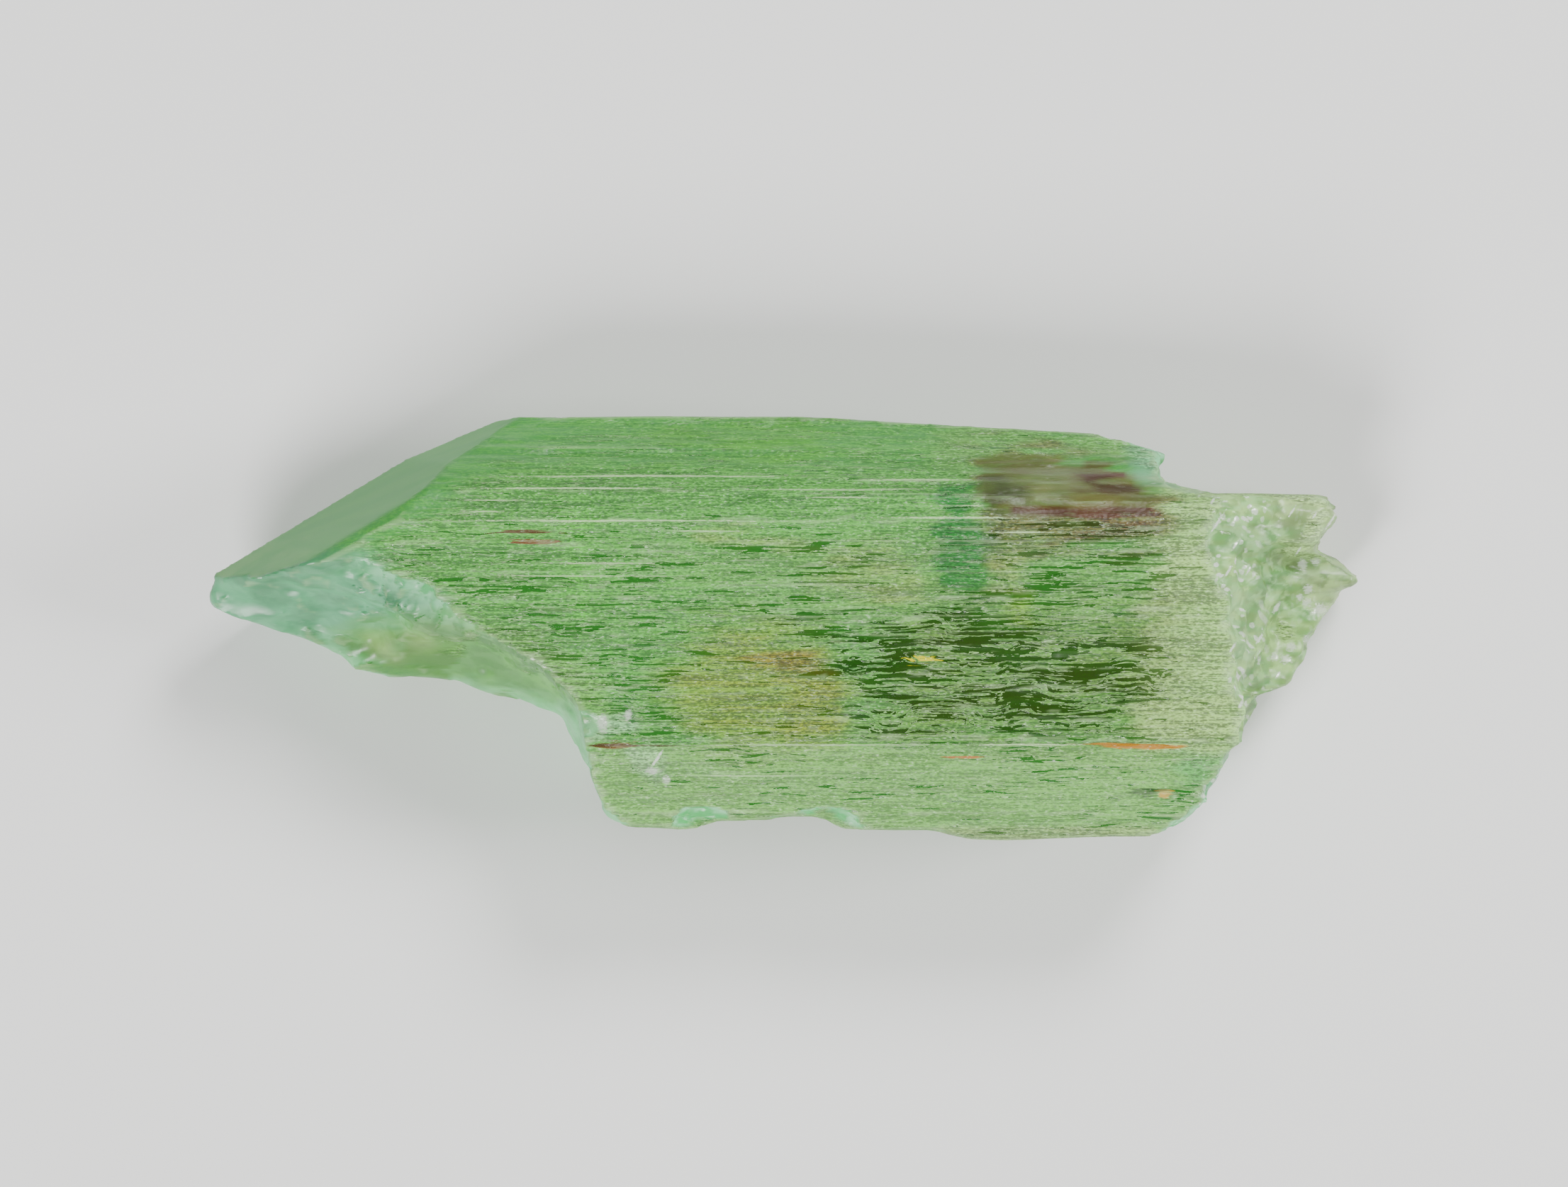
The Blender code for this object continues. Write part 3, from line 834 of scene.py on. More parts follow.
    def hackle(self) -> tuple[np.ndarray, np.ndarray]:
        """The rough relief that a break leaves, at each point as if all of it were broken.

        Returns:
            Its depth, and how pale each facet looks, from 0 to 1.
        """
        x, y, z = self.points.place.T
        warp = 0.35 * self.lattice.fractal(x / 0.5, y / 0.5, z / 0.5, 2)
        blocks = self.lattice.facets(x / 0.75 + warp, y / 0.42 + 0.7 * x, z / 0.6)
        chips = self.lattice.facets(x / 0.34 - warp, y / 0.20 + 0.5 * x, z / 0.3 + 9.0)
        rough = self.hackle_depth * (0.7 * blocks + 0.35 * chips)
        along = (0.92 * x - 0.39 * y) / self.step_run
        down = (0.39 * x + 0.92 * y) / (2.6 * self.step_run)
        steps = self.lattice.facets(along + 2.0 * warp, down, z / 1.2 + 4.0)
        flakes = self.lattice.facets(1.9 * along - warp, 2.2 * down + 5.0, z / 0.5)
        calm = self.calm()
        front = smoothstep(-3.0, -4.0, x) * (1.0 - calm)
        smooth = 0.5 * self.lattice.fractal(x / 1.4, y / 0.7, z / 0.7, 2)
        stepped = self.step_depth * (0.8 * steps + 0.3 * flakes)
        rough = rough * (1.0 - 0.6 * smoothstep(8.0, 9.0, x))
        depth = rough * (1.0 - front) * (1.0 - calm) + stepped * front
        depth = depth + self.hackle_depth * smooth * calm
        # how pale each facet is painted, standing in for how it catches the light
        facet_shading = (0.5 * (blocks + chips)) * (1.0 - front) + (0.6 * steps + 0.4 * flakes) * front
        facet_shading = 0.5 + (smoothstep(0.38, 0.62, facet_shading) - 0.5) * (1.0 - 0.7 * calm)
        return depth, facet_shading

    def calm(self) -> np.ndarray:
        """Where a break is a smooth one, under the pointed end's chipped ridge.

        Returns:
            One share per point.
        """
        x, y, z = self.points.place.T
        chipped = smoothstep(-3.0, -4.0, x) * smoothstep(-11.6, -10.6, x) * smoothstep(2.6, 3.4, z)
        foot = np.interp(x, (-11.0, -8.4, -6.6, -4.6), (0.6, 0.0, -1.2, -2.4))
        chipped = chipped * smoothstep(foot - 0.5, foot, y)
        return smoothstep(-3.4, -4.6, x) * (1.0 - chipped)

    def store(
        self, crystal: bpy.types.Object, values: dict[str, np.ndarray], stain: np.ndarray
    ) -> None:
        """Keeps arrays as attributes of the mesh's points, for the material to read.

        Args:
            crystal: The fine mesh.
            values: One value per point, by attribute name.
            stain: One colour per point.
        """
        for name, array in values.items():
            attribute = crystal.data.attributes.new(name, "FLOAT", "POINT")
            attribute.data.foreach_set("value", array.astype(np.float32))
        attribute = crystal.data.attributes.new("stain", "FLOAT_COLOR", "POINT")
        attribute.data.foreach_set("color", stain.astype(np.float32).ravel())

    def dress(self, crystal: bpy.types.Object, finish: "HiddeniteFinish") -> None:
        """Args:
            crystal: The finished mesh.
            finish: Its finish.
        """
        crystal.data.materials.clear()
        crystal.data.materials.append(finish.material())
        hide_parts(NODE)
        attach(crystal, "root")


# ---- shader graphs


class Graph:
    """A node tree under construction, with short ways to add the usual nodes."""

    def __init__(self, tree: bpy.types.NodeTree) -> None:
        """Starts on a material's or a group's tree."""
        self.tree = tree

    def node(self, kind: str, inputs: dict | None = None, **settings: object) -> bpy.types.Node:
        """Adds a node.

        Args:
            kind: Its type, without the leading "ShaderNode".
            inputs: Values or sockets for its inputs, by name or number.
            settings: Its own properties.

        Returns:
            The node.
        """
        node = self.tree.nodes.new("ShaderNode" + kind)
        for name, value in settings.items():
            setattr(node, name, value)
        self.feed(node, inputs or {})
        return node

    def feed(self, node: bpy.types.Node, inputs: dict) -> None:
        """Gives a node's inputs their values or links.

        Args:
            node: The node.
            inputs: Values or sockets, by name or number.
        """
        for key, value in inputs.items():
            if isinstance(value, Socket):
                self.tree.links.new(value, node.inputs[key])
            else:
                node.inputs[key].default_value = value

    def maths(self, operation: str, a: Value, b: Value = 0.5, c: Value = 0.5) -> Socket:
        """A Math node's result."""
        return self.node("Math", {0: a, 1: b, 2: c}, operation=operation).outputs[0]

    def plus(self, a: Value, b: Value) -> Socket:
        """The sum of two values."""
        return self.maths("ADD", a, b)

    def minus(self, a: Value, b: Value) -> Socket:
        """The difference of two values."""
        return self.maths("SUBTRACT", a, b)

    def times(self, a: Value, b: Value) -> Socket:
        """The product of two values."""
        return self.maths("MULTIPLY", a, b)

    def line(self, a: Value, factor: Value, offset: Value) -> Socket:
        """A value times a factor, plus an offset."""
        return self.maths("MULTIPLY_ADD", a, factor, offset)

    def most(self, a: Value, b: Value) -> Socket:
        """The larger of two values."""
        return self.maths("MAXIMUM", a, b)

    def blend(self, share: Value, a: Value, b: float) -> Socket:
        """Value a turned into the number b by a share."""
        return self.line(share, self.minus(b, a), a)

    def vector(self, operation: str, a: Triple, b: Triple) -> Socket:
        """A Vector Math node's vector."""
        return self.node("VectorMath", {0: a, 1: b}, operation=operation).outputs[0]

    def length(self, a: Socket) -> Socket:
        """The length of a vector."""
        return self.node("VectorMath", {0: a}, operation="LENGTH").outputs[1]

    def join(self, x: Value, y: Value, z: Value = 0.0) -> Socket:
        """Three values as a vector."""
        return self.node("CombineXYZ", {0: x, 1: y, 2: z}).outputs[0]

    def turn(self, vector: Socket, angles: tuple[float, float, float]) -> Socket:
        """A vector turned by three angles."""
        return self.node("Mapping", {"Vector": vector, "Rotation": angles}).outputs[0]

    def ease(
        self, value: Value, low: float, high: float, to_low: float = 0.0, to_high: float = 1.0
    ) -> Socket:
        """Value eased from to_low, at low, to to_high, at high."""
        inputs = {0: value, 1: low, 2: high, 3: to_low, 4: to_high}
        return self.node("MapRange", inputs, interpolation_type="SMOOTHSTEP").outputs[0]

    def mix(self, share: Value, a: Triple, b: Triple, blend: str = "MIX") -> Socket:
        """Colour a turned into colour b by a share."""
        inputs = {0: share, 6: rgba(a), 7: rgba(b)}
        return self.node("Mix", inputs, data_type="RGBA", blend_type=blend).outputs[2]

    def noise(self, vector: Socket, scale: float, detail: float, roughness: float = 0.5) -> Socket:
        """A Noise Texture's value."""
        inputs = {"Vector": vector, "Scale": scale, "Detail": detail, "Roughness": roughness}
        return self.node("TexNoise", inputs).outputs[0]

    def attribute(self, name: str) -> Socket:
        """A value stored on the mesh's points."""
        return self.node("Attribute", attribute_name=name).outputs["Fac"]

    def group(self, group: bpy.types.NodeTree, inputs: dict[str, object]) -> Sockets:
        """Places a node group and gives its outputs by name."""
        return dict(self.node("Group", inputs, node_tree=group).outputs.items())


def rgba(colour: Triple) -> Socket | tuple[float, ...]:
    """A colour of three numbers as four; a socket is handed back."""
    return (*colour, 1.0) if isinstance(colour, tuple) else colour


def new_group(
    name: str, inputs: dict[str, object], outputs: tuple[str, ...]
) -> tuple[Graph, Sockets, bpy.types.Node]:
    """Starts a shader node group.

    Args:
        name: The group's name.
        inputs: Input names with their defaults: a number for a value, three for a vector.
        outputs: Names of the outputs, all values.

    Returns:
        The graph, its input sockets by name, and the output node.
    """
    tree = bpy.data.node_groups.new(name, "ShaderNodeTree")
    for key, default in inputs.items():
        kind = "NodeSocketVector" if isinstance(default, tuple) else "NodeSocketFloat"
        socket = tree.interface.new_socket(key, in_out="INPUT", socket_type=kind)
        socket.default_value = default
    for key in outputs:
        tree.interface.new_socket(key, in_out="OUTPUT", socket_type="NodeSocketFloat")
    given = tree.nodes.new("NodeGroupInput")
    result = tree.nodes.new("NodeGroupOutput")
    return Graph(tree), {key: given.outputs[key] for key in inputs}, result


def grain_group() -> bpy.types.NodeTree:
    """Etched skin: clear windows with comb-like ends in a grainy film.

    Inputs are Vector in millimetres, Cover, above 0 where the film lies, and Swerve, how far the
    streaks leave their straight run. Outputs are Film, 1 on the film and 0 in a window, Rim, 1 on
    the film's edge, Combs, fine ragged streaks, Speckle, the film's grain, and Height, a coarser
    relief of it all.

    Returns:
        The group.
    """
    graph, given, result = new_group(
        "etched grain",
        {"Vector": (0.0, 0.0, 0.0), "Cover": 0.1, "Swerve": 0.0},
        ("Film", "Rim", "Combs", "Speckle", "Height"),
    )
    comb_size, speck_stretch, specks = (1.50, 0.074, 0.074), (0.62, 1.6, 1.6), 13.0
    place = graph.vector("ADD", given["Vector"], graph.join(0.0, given["Swerve"], given["Swerve"]))
    place = graph.vector("DIVIDE", place, comb_size)
    combs = graph.noise(place, 1.0, 2.0, 0.58)
    stretched = graph.vector("MULTIPLY", given["Vector"], speck_stretch)
    speckle = graph.noise(stretched, specks, 1.0, 0.8)
    height = graph.plus(graph.minus(combs, 0.5), given["Cover"])
    height = graph.line(speckle, 0.16, graph.minus(height, 0.08))
    film = graph.ease(height, -0.008, 0.014)
    coarse = graph.minus(graph.noise(place, 1.0, 0.0), 0.5)
    coarse = graph.ease(graph.line(coarse, 0.7, given["Cover"]), -0.02, 0.03)
    rim = graph.times(film, graph.ease(height, 0.055, 0.014))
    relief = graph.times(coarse, graph.line(graph.noise(stretched, specks, 0.0), 2.2, 1.0))
    outputs = {"Film": film, "Rim": rim, "Combs": combs, "Speckle": speckle, "Height": relief}
    graph.feed(result, outputs)
    return graph.tree


def streak_group() -> bpy.types.NodeTree:
    """Straight fine streaks along the crystal that come and go.

    Inputs are Vector in millimetres, Width and Run of a streak. Output is Streaks, from 0 to 1.

    Returns:
        The group.
    """
    graph, given, result = new_group(
        "streaks", {"Vector": (0.0, 0.0, 0.0), "Width": 0.1, "Run": 6.0}, ("Streaks",)
    )
    size = graph.join(given["Run"], given["Width"], given["Width"])
    streaks = graph.noise(graph.vector("DIVIDE", given["Vector"], size), 1.0, 1.0, 0.65)
    graph.feed(result, {"Streaks": graph.ease(streaks, 0.36, 0.64)})
    return graph.tree


def glint_group() -> bpy.types.NodeTree:
    """Small cells, of which some are painted as glints.

    Inputs are Vector in millimetres, Cell, a cell's size, and Share, how many of them are painted
    as glints.
    Output is Spots, 1 on those.

    Returns:
        The group.
    """
    graph, given, result = new_group(
        "glints", {"Vector": (0.0, 0.0, 0.0), "Cell": (0.2, 0.2, 0.2), "Share": 0.1}, ("Spots",)
    )
    drawn = graph.vector("DIVIDE", given["Vector"], given["Cell"])
    cells = graph.node("TexVoronoi", {"Vector": drawn, "Scale": 1.0}, voronoi_dimensions="2D")
    colour = graph.node("SeparateColor", {0: cells.outputs["Color"]}).outputs[0]
    chosen = graph.maths("LESS_THAN", colour, given["Share"])
    near = graph.ease(cells.outputs["Distance"], 0.52, 0.30)
    graph.feed(result, {"Spots": graph.times(near, chosen)})
    return graph.tree


# ---- the finish


@dataclass(frozen=True)
class Mark:
    """A long or round mark on the skin, seen from above: a painted highlight, a painted glint or a
    coloured spot.

    Attributes:
        x: Its middle along the crystal.
        y: Its middle across it.
        half_length: Half its length.
        half_width: Half its width.
    """

    x: float
    y: float
    half_length: float
    half_width: float

    def turned(self, angle: float) -> "Mark":
        """The mark as it lies in axes that are turned by an angle.

        Args:
            angle: How far, in radians.

        Returns:
            The turned mark.
        """
        cosine, sine = math.cos(angle), math.sin(angle)
        x, y = self.x * cosine + self.y * sine, self.y * cosine - self.x * sine
        return Mark(x, y, self.half_length, self.half_width)


def marks(*rows: tuple[float, float, float, float]) -> tuple[Mark, ...]:
    """Marks from rows of x, y, half length and half width."""
    return tuple(Mark(*row) for row in rows)


@dataclass(frozen=True)
class Spot(Mark):
    """A small coloured spot on the skin.

    Attributes:
        colour: Its colour.
        strength: How far it covers the skin, from 0 to 1.
    """

    colour: Colour
    strength: float


@dataclass(frozen=True)
class HiddeniteFinish:
    """Clear green spodumene with a frosted, etched and stained skin.

    Attributes:
        shaded_window: Colour of the darkest clear windows, painted dark as shade for the dark seen
            through them.
        window_light: Colour of the lightest ones, with less painted shade.
        film: Colour of the frosted film between them.
        film_light: Colour of its paler streaks.
        veil: Colour of the milky skin.
        broken: Colour of the fractures' facets painted as lit.
        broken_shaded: Colour of those painted as in shade.
        pointed: Colour of the smooth termination faces.
        satin: Colour of the smooth skin beside them.
        edge: Colour of the film's rims and the paler convex ridges, and of the painted highlights
            along the growth steps.
        glint: Colour of the painted glints.
        inside: Colour that the crystal's inside lets through.
        density: How strongly it takes up the rest, per metre.
        transmission: Share of the light that goes through and isn't scattered back.
        ior: Refractive index of spodumene.
        sheen: Level of the plain reflection, 0.5 for a polished gem.
        dulled: What a stain's colour is multiplied by in the windows, where it is painted as in
            shade.
        brightened: What it is multiplied by on the palest film.
        window_rough: Roughness of the windows.
        satin_rough: Roughness of the smooth skin and the breaks.
        glint_rough: Roughness of the glints.
        bump_depth: Depth of the bump.
        streak_width: Width of the film's streaks.
        streak_run: Their length.
        glint_spot_size: Size of the cells of painted glints strewn over the broken end.
        glint_spot_share: How many of them are painted as glints.
        step_highlights: The palest painted highlights along the growth steps' ledges.
        faint_step_highlights: The fainter ones.
        dash_angle: How far the dashes are turned from the crystal's length.
        dashes: The larger long painted glints.
        glows: The round painted highlights.
        spots: Small coloured spots.
    """

    shaded_window: Colour = (0.010, 0.070, 0.0)
    window_light: Colour = (0.025, 0.200, 0.018)
    film: Colour = (0.035, 0.190, 0.015)
    film_light: Colour = (0.135, 0.575, 0.060)
    veil: Colour = (0.480, 0.780, 0.230)
    broken: Colour = (0.420, 1.000, 0.540)
    broken_shaded: Colour = (0.090, 0.700, 0.180)
    satin: Colour = (0.065, 0.340, 0.065)
    pointed: Colour = (0.028, 0.350, 0.032)
    edge: Colour = (0.720, 0.990, 0.500)
    glint: Colour = (0.92, 1.00, 0.86)
    inside: Colour = (0.22, 0.88, 0.18)
    density: float = 130.0
    transmission: float = 0.52
    ior: float = 1.66
    sheen: float = 0.12
    dulled: float = 0.4
    brightened: float = 1.8
    window_rough: float = 0.18
    satin_rough: float = 0.36
    glint_rough: float = 0.12
    bump_depth: float = 0.01
    streak_width: float = 0.046
    streak_run: float = 2.0
    glint_spot_size: tuple[float, float, float] = (0.19, 0.080, 1.0)
    glint_spot_share: float = 0.24
    step_highlights: tuple[Mark, ...] = marks(
        (-3.45, 3.963, 5.3, 0.042), (3.45, 3.871, 2.1, 0.038), (-5.35, 3.631, 3.7, 0.036),
        (6.30, 3.207, 3.7, 0.040), (4.55, 2.893, 2.7, 0.044), (-4.20, 2.801, 5.8, 0.038),
        (6.20, 2.487, 1.2, 0.030), (6.40, -3.011, 2.3, 0.044),
    )
    faint_step_highlights: tuple[Mark, ...] = marks(
        (1.25, 3.613, 3.4, 0.040), (1.55, 3.391, 1.4, 0.034), (-2.05, 2.543, 1.4, 0.034),
        (-7.50, 3.318, 1.2, 0.032), (-7.80, 3.041, 0.8, 0.032), (-4.75, 1.694, 2.2, 0.036),
        (-5.30, 1.380, 3.5, 0.030), (-0.90, -3.823, 2.5, 0.034), (1.00, -3.011, 4.6, 0.034),
    )
    dash_angle: float = math.radians(57.0)
    dashes: tuple[Mark, ...] = marks(
        (11.23, 2.73, 0.40, 0.037), (10.80, 3.49, 0.13, 0.037), (11.11, 3.30, 0.13, 0.037),
        (11.52, 1.48, 0.22, 0.040), (11.70, 2.15, 0.15, 0.031), (12.05, 1.48, 0.15, 0.031),
        (12.82, 0.54, 0.20, 0.068), (11.63, -0.50, 0.16, 0.037), (12.36, -0.28, 0.16, 0.056),
        (13.21, 3.04, 0.18, 0.030), (13.79, 2.93, 0.12, 0.030), (14.22, 2.78, 0.30, 0.037),
        (13.38, 2.01, 0.16, 0.031), (12.88, -1.20, 0.14, 0.030), (11.85, -1.96, 0.14, 0.050),
        (-3.30, -3.40, 0.30, 0.043),
    )
    glows: tuple[Mark, ...] = marks(
        (13.50, 1.64, 0.16, 0.20), (13.84, 1.72, 0.16, 0.13), (13.65, 1.01, 0.17, 0.18),
        (13.43, 0.81, 0.13, 0.13), (13.61, 0.66, 0.18, 0.15), (13.98, 0.48, 0.28, 0.22),
        (13.61, -0.30, 0.12, 0.16), (13.21, -0.48, 0.18, 0.15), (13.06, -0.81, 0.20, 0.16),
        (12.77, -0.74, 0.15, 0.15), (12.36, -0.75, 0.07, 0.25), (-4.70, -2.45, 0.20, 0.30),
        (-4.04, -2.25, 0.12, 0.20), (-3.40, -3.70, 0.25, 0.11), (-3.05, -3.95, 0.14, 0.16),
    )
    spots: tuple[Spot, ...] = (
        Spot(3.62, -0.81, 0.33, 0.10, (0.85, 0.80, 0.0), 0.95),
        Spot(9.15, -3.06, 1.10, 0.075, (0.62, 0.23, 0.0), 0.95),
        Spot(-4.26, -3.03, 0.46, 0.09, (0.22, 0.08, 0.02), 0.85),
        Spot(-4.00, -3.03, 0.95, 0.03, (0.10, 0.05, 0.02), 0.8),
        Spot(-6.38, 2.22, 0.85, 0.07, (0.20, 0.04, 0.01), 0.9),
        Spot(-6.70, 2.50, 0.75, 0.045, (0.12, 0.03, 0.01), 0.9),
        Spot(4.60, -3.32, 0.40, 0.045, (0.60, 0.18, 0.03), 0.9),
        Spot(9.85, -4.32, 0.16, 0.09, (0.75, 0.42, 0.05), 0.9),
        Spot(6.15, 2.28, 0.42, 0.03, (0.03, 0.02, 0.01), 0.8),
        Spot(9.35, -4.25, 0.35, 0.12, (0.03, 0.06, 0.02), 0.75),
    )

    def material(self) -> bpy.types.Material:
        """Builds the material.

        Returns:
            A see-through material with plain transmission, IOR and absorption.
        """
        material = bpy.data.materials.new("hiddenite")
        material.use_nodes = True
        nodes = material.node_tree.nodes
        skin = SkinGraph(material.node_tree, self)
        surface = {
            "Base Color": skin.colour(),
            "Roughness": skin.roughness(),
            "Normal": skin.bump(),
            "Metallic": 0.0,
            "Transmission Weight": self.transmission,
            "IOR": self.ior,
            "Specular IOR Level": self.sheen,
        }
        skin.feed(nodes["Principled BSDF"], surface)
        absorbed = {"Color": (*self.inside, 1.0), "Density": self.density}
        inside = skin.node("VolumeAbsorption", absorbed)
        skin.feed(nodes["Material Output"], {"Volume": inside.outputs[0]})
        return material


class SkinGraph(Graph):
    """The graph of the crystal's skin.

    Attributes:
        finish: The colours and sizes that it uses.
        spot: Object coordinates in millimetres.
        grain: Outputs of the etched grain.
        masks: Where each kind of surface and mark is, from 0 to 1, by name.
    """

    def __init__(self, tree: bpy.types.NodeTree, finish: HiddeniteFinish) -> None:
        """Starts with the coordinates, the etched grain and the masks.

        Args:
            tree: The material's tree.
            finish: The colours and sizes that it uses.
        """
        super().__init__(tree)
        self.finish = finish
        place = self.node("TexCoord").outputs["Object"]
        self.spot = self.node("Mapping", {"Vector": place, "Scale": (1.0 / MM,) * 3}).outputs[0]
        cover, swerve = self.attribute("cover"), self.attribute("swerve")
        given = {"Vector": self.spot, "Cover": cover, "Swerve": swerve}
        self.grain = self.group(grain_group(), given)
        self.masks = self.surfaces()

    def surfaces(self) -> Sockets:
        """Where each kind of surface and mark is.

        Returns:
            Sockets from 0 to 1, by name.
        """
        fracture, termination = self.attribute("fracture"), self.attribute("termination")
        satin, upward = self.attribute("smooth"), self.attribute("upward")
        combed = self.ease(self.grain["Combs"], 0.35, 0.65)
        smooth = self.ease(self.line(combed, 0.4, satin), 0.25, 1.0)
        flat = self.most(smooth, termination)
        plain = self.most(satin, self.most(fracture, termination))
        skin = self.minus(1.0, self.most(fracture, flat))
        above = self.times(skin, upward)
        # pale specks on the film, painted as small glints
        specks = self.ease(self.grain["Speckle"], 0.64, 0.74, 0.0, 0.4)
        specks = self.times(specks, self.times(skin, self.grain["Film"]))
        width, run = self.finish.streak_width, self.finish.streak_run
        streaks = self.group(streak_group(), {"Vector": self.spot, "Width": width, "Run": run})
        return {
            "fracture": fracture,
            "termination": termination,
            "smooth": smooth,
            "flat": flat,
            "etched": self.minus(1.0, plain),
            "above": above,
            # painted highlights along the growth steps
            "steps": self.times(self.steps(), above),
            "streaks": streaks["Streaks"],
            # painted glints
            "glints": self.most(self.glints(upward), specks),
            # paler colour along convex ridges
            "worn": self.ease(self.attribute("ridge"), 0.35, 1.0),
        }

    def nearest(self, place: Socket, marks: tuple[Mark, ...], ragged: Socket) -> Socket:
        """Distance to the nearest mark, 1 at its rim.

        Args:
            place: Where, in the axes that the marks lie along.
            marks: The marks.
            ragged: What makes their rims uneven.

        Returns:
            One value.
        """
        least = None
        for mark in marks:
            scale = (1.0 / mark.half_length, 1.0 / mark.half_width, 0.0)
            inputs = {0: place, 1: scale, 2: (-mark.x * scale[0], -mark.y * scale[1], 0.0)}
            offset = self.node("VectorMath", inputs, operation="MULTIPLY_ADD").outputs[0]
            distance = self.length(offset)
            least = self.maths("MINIMUM", least, distance) if least else distance
        return self.plus(least, ragged)

    def steps(self) -> Socket:
        """Painted highlights along the ledges of the growth steps.

        Returns:
            One value from 0 to 1.
        """
        ragged = self.line(self.grain["Speckle"], 1.6, -0.65)
        wave = self.join(0.0, self.times(self.attribute("band"), 0.03))
        place = self.vector("ADD", self.spot, wave)
        bright = self.nearest(place, self.finish.step_highlights, ragged)
        faint = self.nearest(place, self.finish.faint_step_highlights, ragged)
        bright = self.ease(bright, 1.0, 0.45, 0.0, 0.85)
        return self.most(bright, self.ease(faint, 1.0, 0.45, 0.0, 0.6))

    def glints(self, upward: Socket) -> Socket:
        """The painted white glints on what faces upward.

        Args:
            upward: Mask of what faces upward.

        Returns:
            One value from 0 to 1.
        """
        finish, angle = self.finish, self.finish.dash_angle
        ragged = self.line(self.grain["Speckle"], 1.6, -0.75)
        turned = self.turn(self.spot, (0.0, 0.0, -angle))
        dashes = tuple(mark.turned(angle) for mark in finish.dashes)
        dashes = self.ease(self.nearest(turned, dashes, ragged), 1.1, 0.6)
        glows = self.ease(self.nearest(self.spot, finish.glows, ragged), 1.0, 0.4, 0.0, 0.7)
        large = self.times(self.most(dashes, glows), upward)
        along = self.node("SeparateXYZ", {0: self.spot}).outputs[0]
        east = self.times(self.ease(along, 10.2, 10.8), self.ease(along, 12.8, 12.0, 0.15))
        drawn = self.turn(self.spot, (0.5, 0.3, -angle))
        # small cells over the broken end, some painted as glints
        facets = {"Vector": drawn, "Cell": finish.glint_spot_size, "Share": finish.glint_spot_share}
        facets = self.group(glint_group(), facets)["Spots"]
        hackled = self.times(self.attribute("hackled"), upward)
        hackled = self.times(hackled, self.line(self.attribute("cloud"), 0.6, 0.4))
        return self.most(large, self.times(facets, self.times(hackled, east)))

    def colour(self) -> Socket:
        """The crystal's colour over its whole surface.

        Returns:
            One colour.
        """
        finish, grain, masks = self.finish, self.grain, self.masks
        stain = self.node("Attribute", attribute_name="stain").outputs
        strength = stain["Alpha"]
        dull = self.mix(1.0, stain["Color"], (finish.dulled,) * 3, "MULTIPLY")
        bright = self.mix(1.0, stain["Color"], (finish.brightened,) * 3, "MULTIPLY")
        names = ("veil", "band", "cloud", "deep", "facet_shading")
        veil, band, cloud, deep, facet_shading = (self.attribute(name) for name in names)
        # clear windows, painted dark as shade for the dark seen through them
        window = self.mix(deep, finish.window_light, finish.shaded_window)
        window = self.mix(self.times(band, 0.30), window, finish.window_light)
        window = self.mix(self.times(strength, 0.8), window, dull)
        # the film between them
        grit = self.ease(grain["Speckle"], 0.36, 0.66)
        pale = self.line(grit, 0.80, self.line(band, 0.25, -0.28))
        pale = self.ease(self.line(masks["streaks"], 0.60, pale), 0.0, 1.10)
        film = self.mix(pale, finish.film, finish.film_light)
        film = self.mix(strength, film, self.mix(pale, dull, bright))
        milky = self.times(veil, self.line(strength, -0.8, 1.0))
        milky = self.times(milky, self.ease(pale, 0.0, 0.8, 0.5, 1.0))
        film = self.mix(milky, film, finish.veil)
        film = self.mix(self.times(grain["Rim"], 0.40), film, finish.edge)
        colour = self.mix(grain["Film"], window, film)
        # the smooth skin and the termination
        satin = self.mix(self.times(pale, 0.5), finish.satin, finish.film_light)
        stained = self.mix(self.line(cloud, 0.3, 0.3), dull, bright)
        colour = self.mix(masks["smooth"], colour, self.mix(strength, satin, stained))
        pointed = self.mix(self.times(band, 0.12), finish.pointed, finish.film_light)
        pointed = self.mix(self.times(veil, cloud), pointed, finish.veil)
        colour = self.mix(masks["termination"], colour, pointed)
        # the breaks, with painted light and shade on their facets
        broken = self.mix(facet_shading, finish.broken_shaded, finish.broken)
        stained = self.mix(self.line(facet_shading, 0.35, self.line(cloud, 0.35, 0.12)), dull, bright)
        colour = self.mix(masks["fracture"], colour, self.mix(strength, broken, stained))
        # the marks on them all: painted highlights along the growth steps, coloured spots, paler
        # convex ridges and painted glints
        colour = self.mix(masks["steps"], colour, finish.edge)
        ragged = self.line(grain["Combs"], 4.5, -2.25)
        for item in finish.spots:
            distance = self.nearest(self.spot, (item,), ragged)
            mask = self.ease(distance, 1.1, 0.75, 0.0, item.strength)
            colour = self.mix(self.times(mask, masks["above"]), colour, item.colour)
        # paler colour along convex ridges
        colour = self.mix(self.times(masks["worn"], 0.30), colour, finish.edge)
        # painted glints
        return self.mix(masks["glints"], colour, finish.glint)

    def roughness(self) -> Socket:
        """Rough on the film, smooth in the windows and on glints.

        Returns:
            One value.
        """
        satin = self.finish.satin_rough
        rough = self.line(self.grain["Speckle"], 0.20, 0.26)
        rough = self.line(self.grain["Film"], rough, self.finish.window_rough)
        rough = self.blend(self.masks["flat"], rough, satin)
        rough = self.blend(self.masks["fracture"], rough, satin)
        return self.blend(self.masks["glints"], rough, self.finish.glint_rough)

    def bump(self) -> Socket:
        """The relief that is finer than the mesh."""
        height = self.times(self.grain["Height"], self.masks["etched"])
        return self.node("Bump", {1: self.finish.bump_depth * MM, "Height": height}).outputs[0]


# ---- the studio


@dataclass(frozen=True)
class Lamp:
    """A soft area light aimed at the crystal. Lengths are in metres, power in watts."""

    name: str
    place: tuple[float, float, float]
    size: float
    power: float


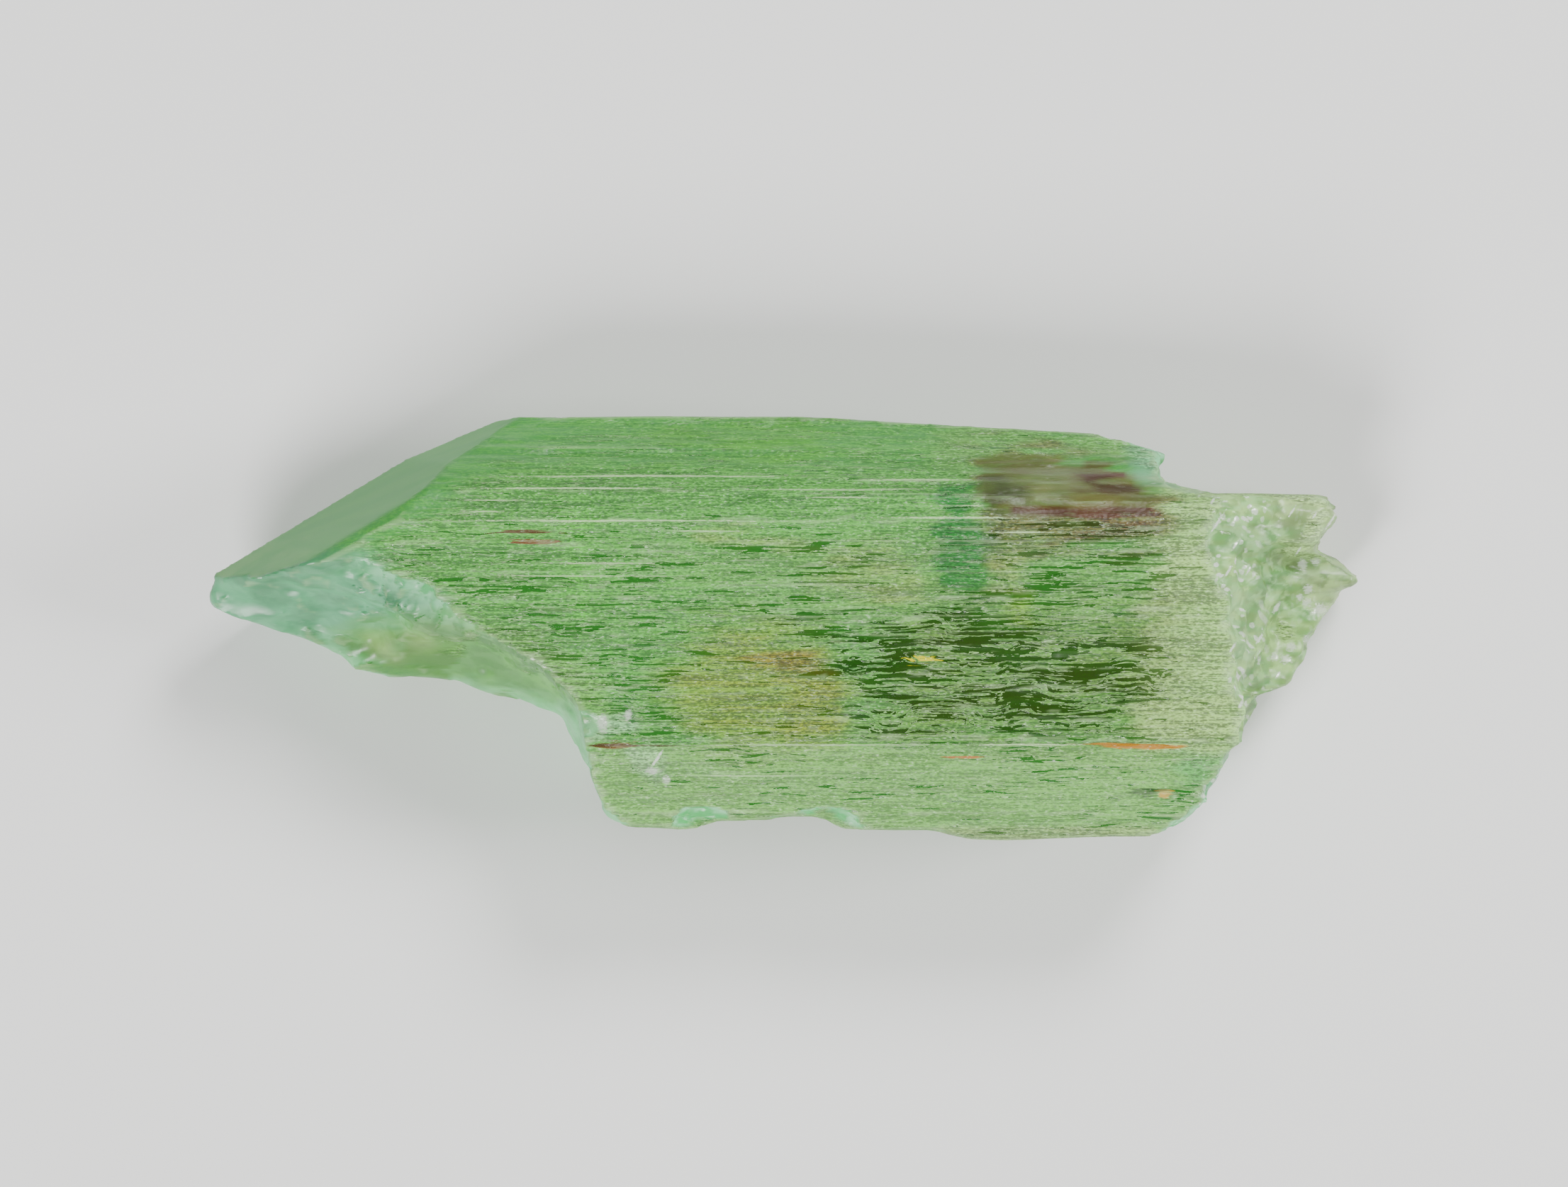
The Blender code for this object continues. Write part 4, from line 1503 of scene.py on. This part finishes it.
@dataclass
class Studio:
    """Floor, lights and camera.

    Attributes:
        frame_width: Width of the picture at the crystal's middle height.
        middle: Where the camera looks.
        distance: Height of the camera over the floor, in metres.
        floor_size: Side of the floor, in metres.
        floor_gap: How far the floor lies under the base, so that the two don't merge.
        floor_colour: Colour of the floor.
        floor_rough: Its roughness.
        sensor: Width of the camera's sensor.
        sky: Strength of the even light from all round.
        lamps: The soft lights.
    """

    frame_width: float = 40.81
    middle: tuple[float, float, float] = (0.0, 0.9, 3.0)
    distance: float = 0.6
    floor_size: float = 3.0
    floor_gap: float = 0.02
    floor_colour: Colour = (0.64, 0.64, 0.63)
    floor_rough: float = 0.7
    sensor: float = 36.0
    sky: float = 0.31
    lamps: tuple[Lamp, ...] = (
        Lamp("key", (0.16, 0.28, 0.30), 0.16, 2.2),
        Lamp("second", (-0.16, -0.28, 0.28), 0.20, 3.0),
        Lamp("side", (0.34, 0.02, 0.20), 0.12, 1.4),
    )

    def build(self) -> None:
        """Makes everything around the crystal."""
        self.floor()
        for lamp in self.lamps:
            self.light(lamp)
        self.world()
        self.camera()

    def floor(self) -> None:
        """A plain pale floor just under the crystal."""
        bm = bmesh.new()
        bmesh.ops.create_grid(bm, x_segments=1, y_segments=1, size=self.floor_size / 2)
        bmesh.ops.translate(bm, vec=(0.0, 0.0, -self.floor_gap * MM), verts=bm.verts)
        mesh = bpy.data.meshes.new("floor")
        bm.to_mesh(mesh)
        bm.free()
        floor = bpy.data.objects.new("floor", mesh)
        bpy.context.scene.collection.objects.link(floor)
        material = bpy.data.materials.new("pale_floor")
        material.use_nodes = True
        shader = material.node_tree.nodes["Principled BSDF"]
        shader.inputs["Base Color"].default_value = (*self.floor_colour, 1.0)
        shader.inputs["Roughness"].default_value = self.floor_rough
        mesh.materials.append(material)

    def light(self, lamp: Lamp) -> None:
        """One area light, turned to the crystal.

        Args:
            lamp: Its values.
        """
        data = bpy.data.lights.new(lamp.name, "AREA")
        data.shape = "DISK"
        data.size = lamp.size
        data.energy = lamp.power
        obj = bpy.data.objects.new(lamp.name, data)
        bpy.context.scene.collection.objects.link(obj)
        obj.location = lamp.place
        obj.rotation_euler = (-Vector(lamp.place)).to_track_quat("-Z", "Y").to_euler()

    def world(self) -> None:
        """Even pale light from all round."""
        world = bpy.data.worlds.new("studio")
        world.use_nodes = True
        background = world.node_tree.nodes["Background"]
        background.inputs["Color"].default_value = (1.0, 1.0, 1.0, 1.0)
        background.inputs["Strength"].default_value = self.sky
        bpy.context.scene.world = world

    def camera(self) -> None:
        """A camera that looks straight down on the broad striated face."""
        x, y, z = (value * MM for value in self.middle)
        data = bpy.data.cameras.new("camera")
        data.sensor_width = self.sensor
        data.lens = self.sensor * (self.distance - z) / (self.frame_width * MM)
        camera = bpy.data.objects.new("camera", data)
        bpy.context.scene.collection.objects.link(camera)
        camera.location = (x, y, self.distance)
        bpy.context.scene.camera = camera


def main() -> None:
    logging.basicConfig(level=logging.INFO, format="%(message)s")
    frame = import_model()
    body = CrystalBody()
    crystal = body.build(frame)
    body.dress(crystal, HiddeniteFinish())
    triangles = sum(len(face.vertices) - 2 for face in crystal.data.polygons)
    LOG.info("%s: %d triangles", crystal.name, triangles)
    Studio().build()


if __name__ == "__main__":
    main()
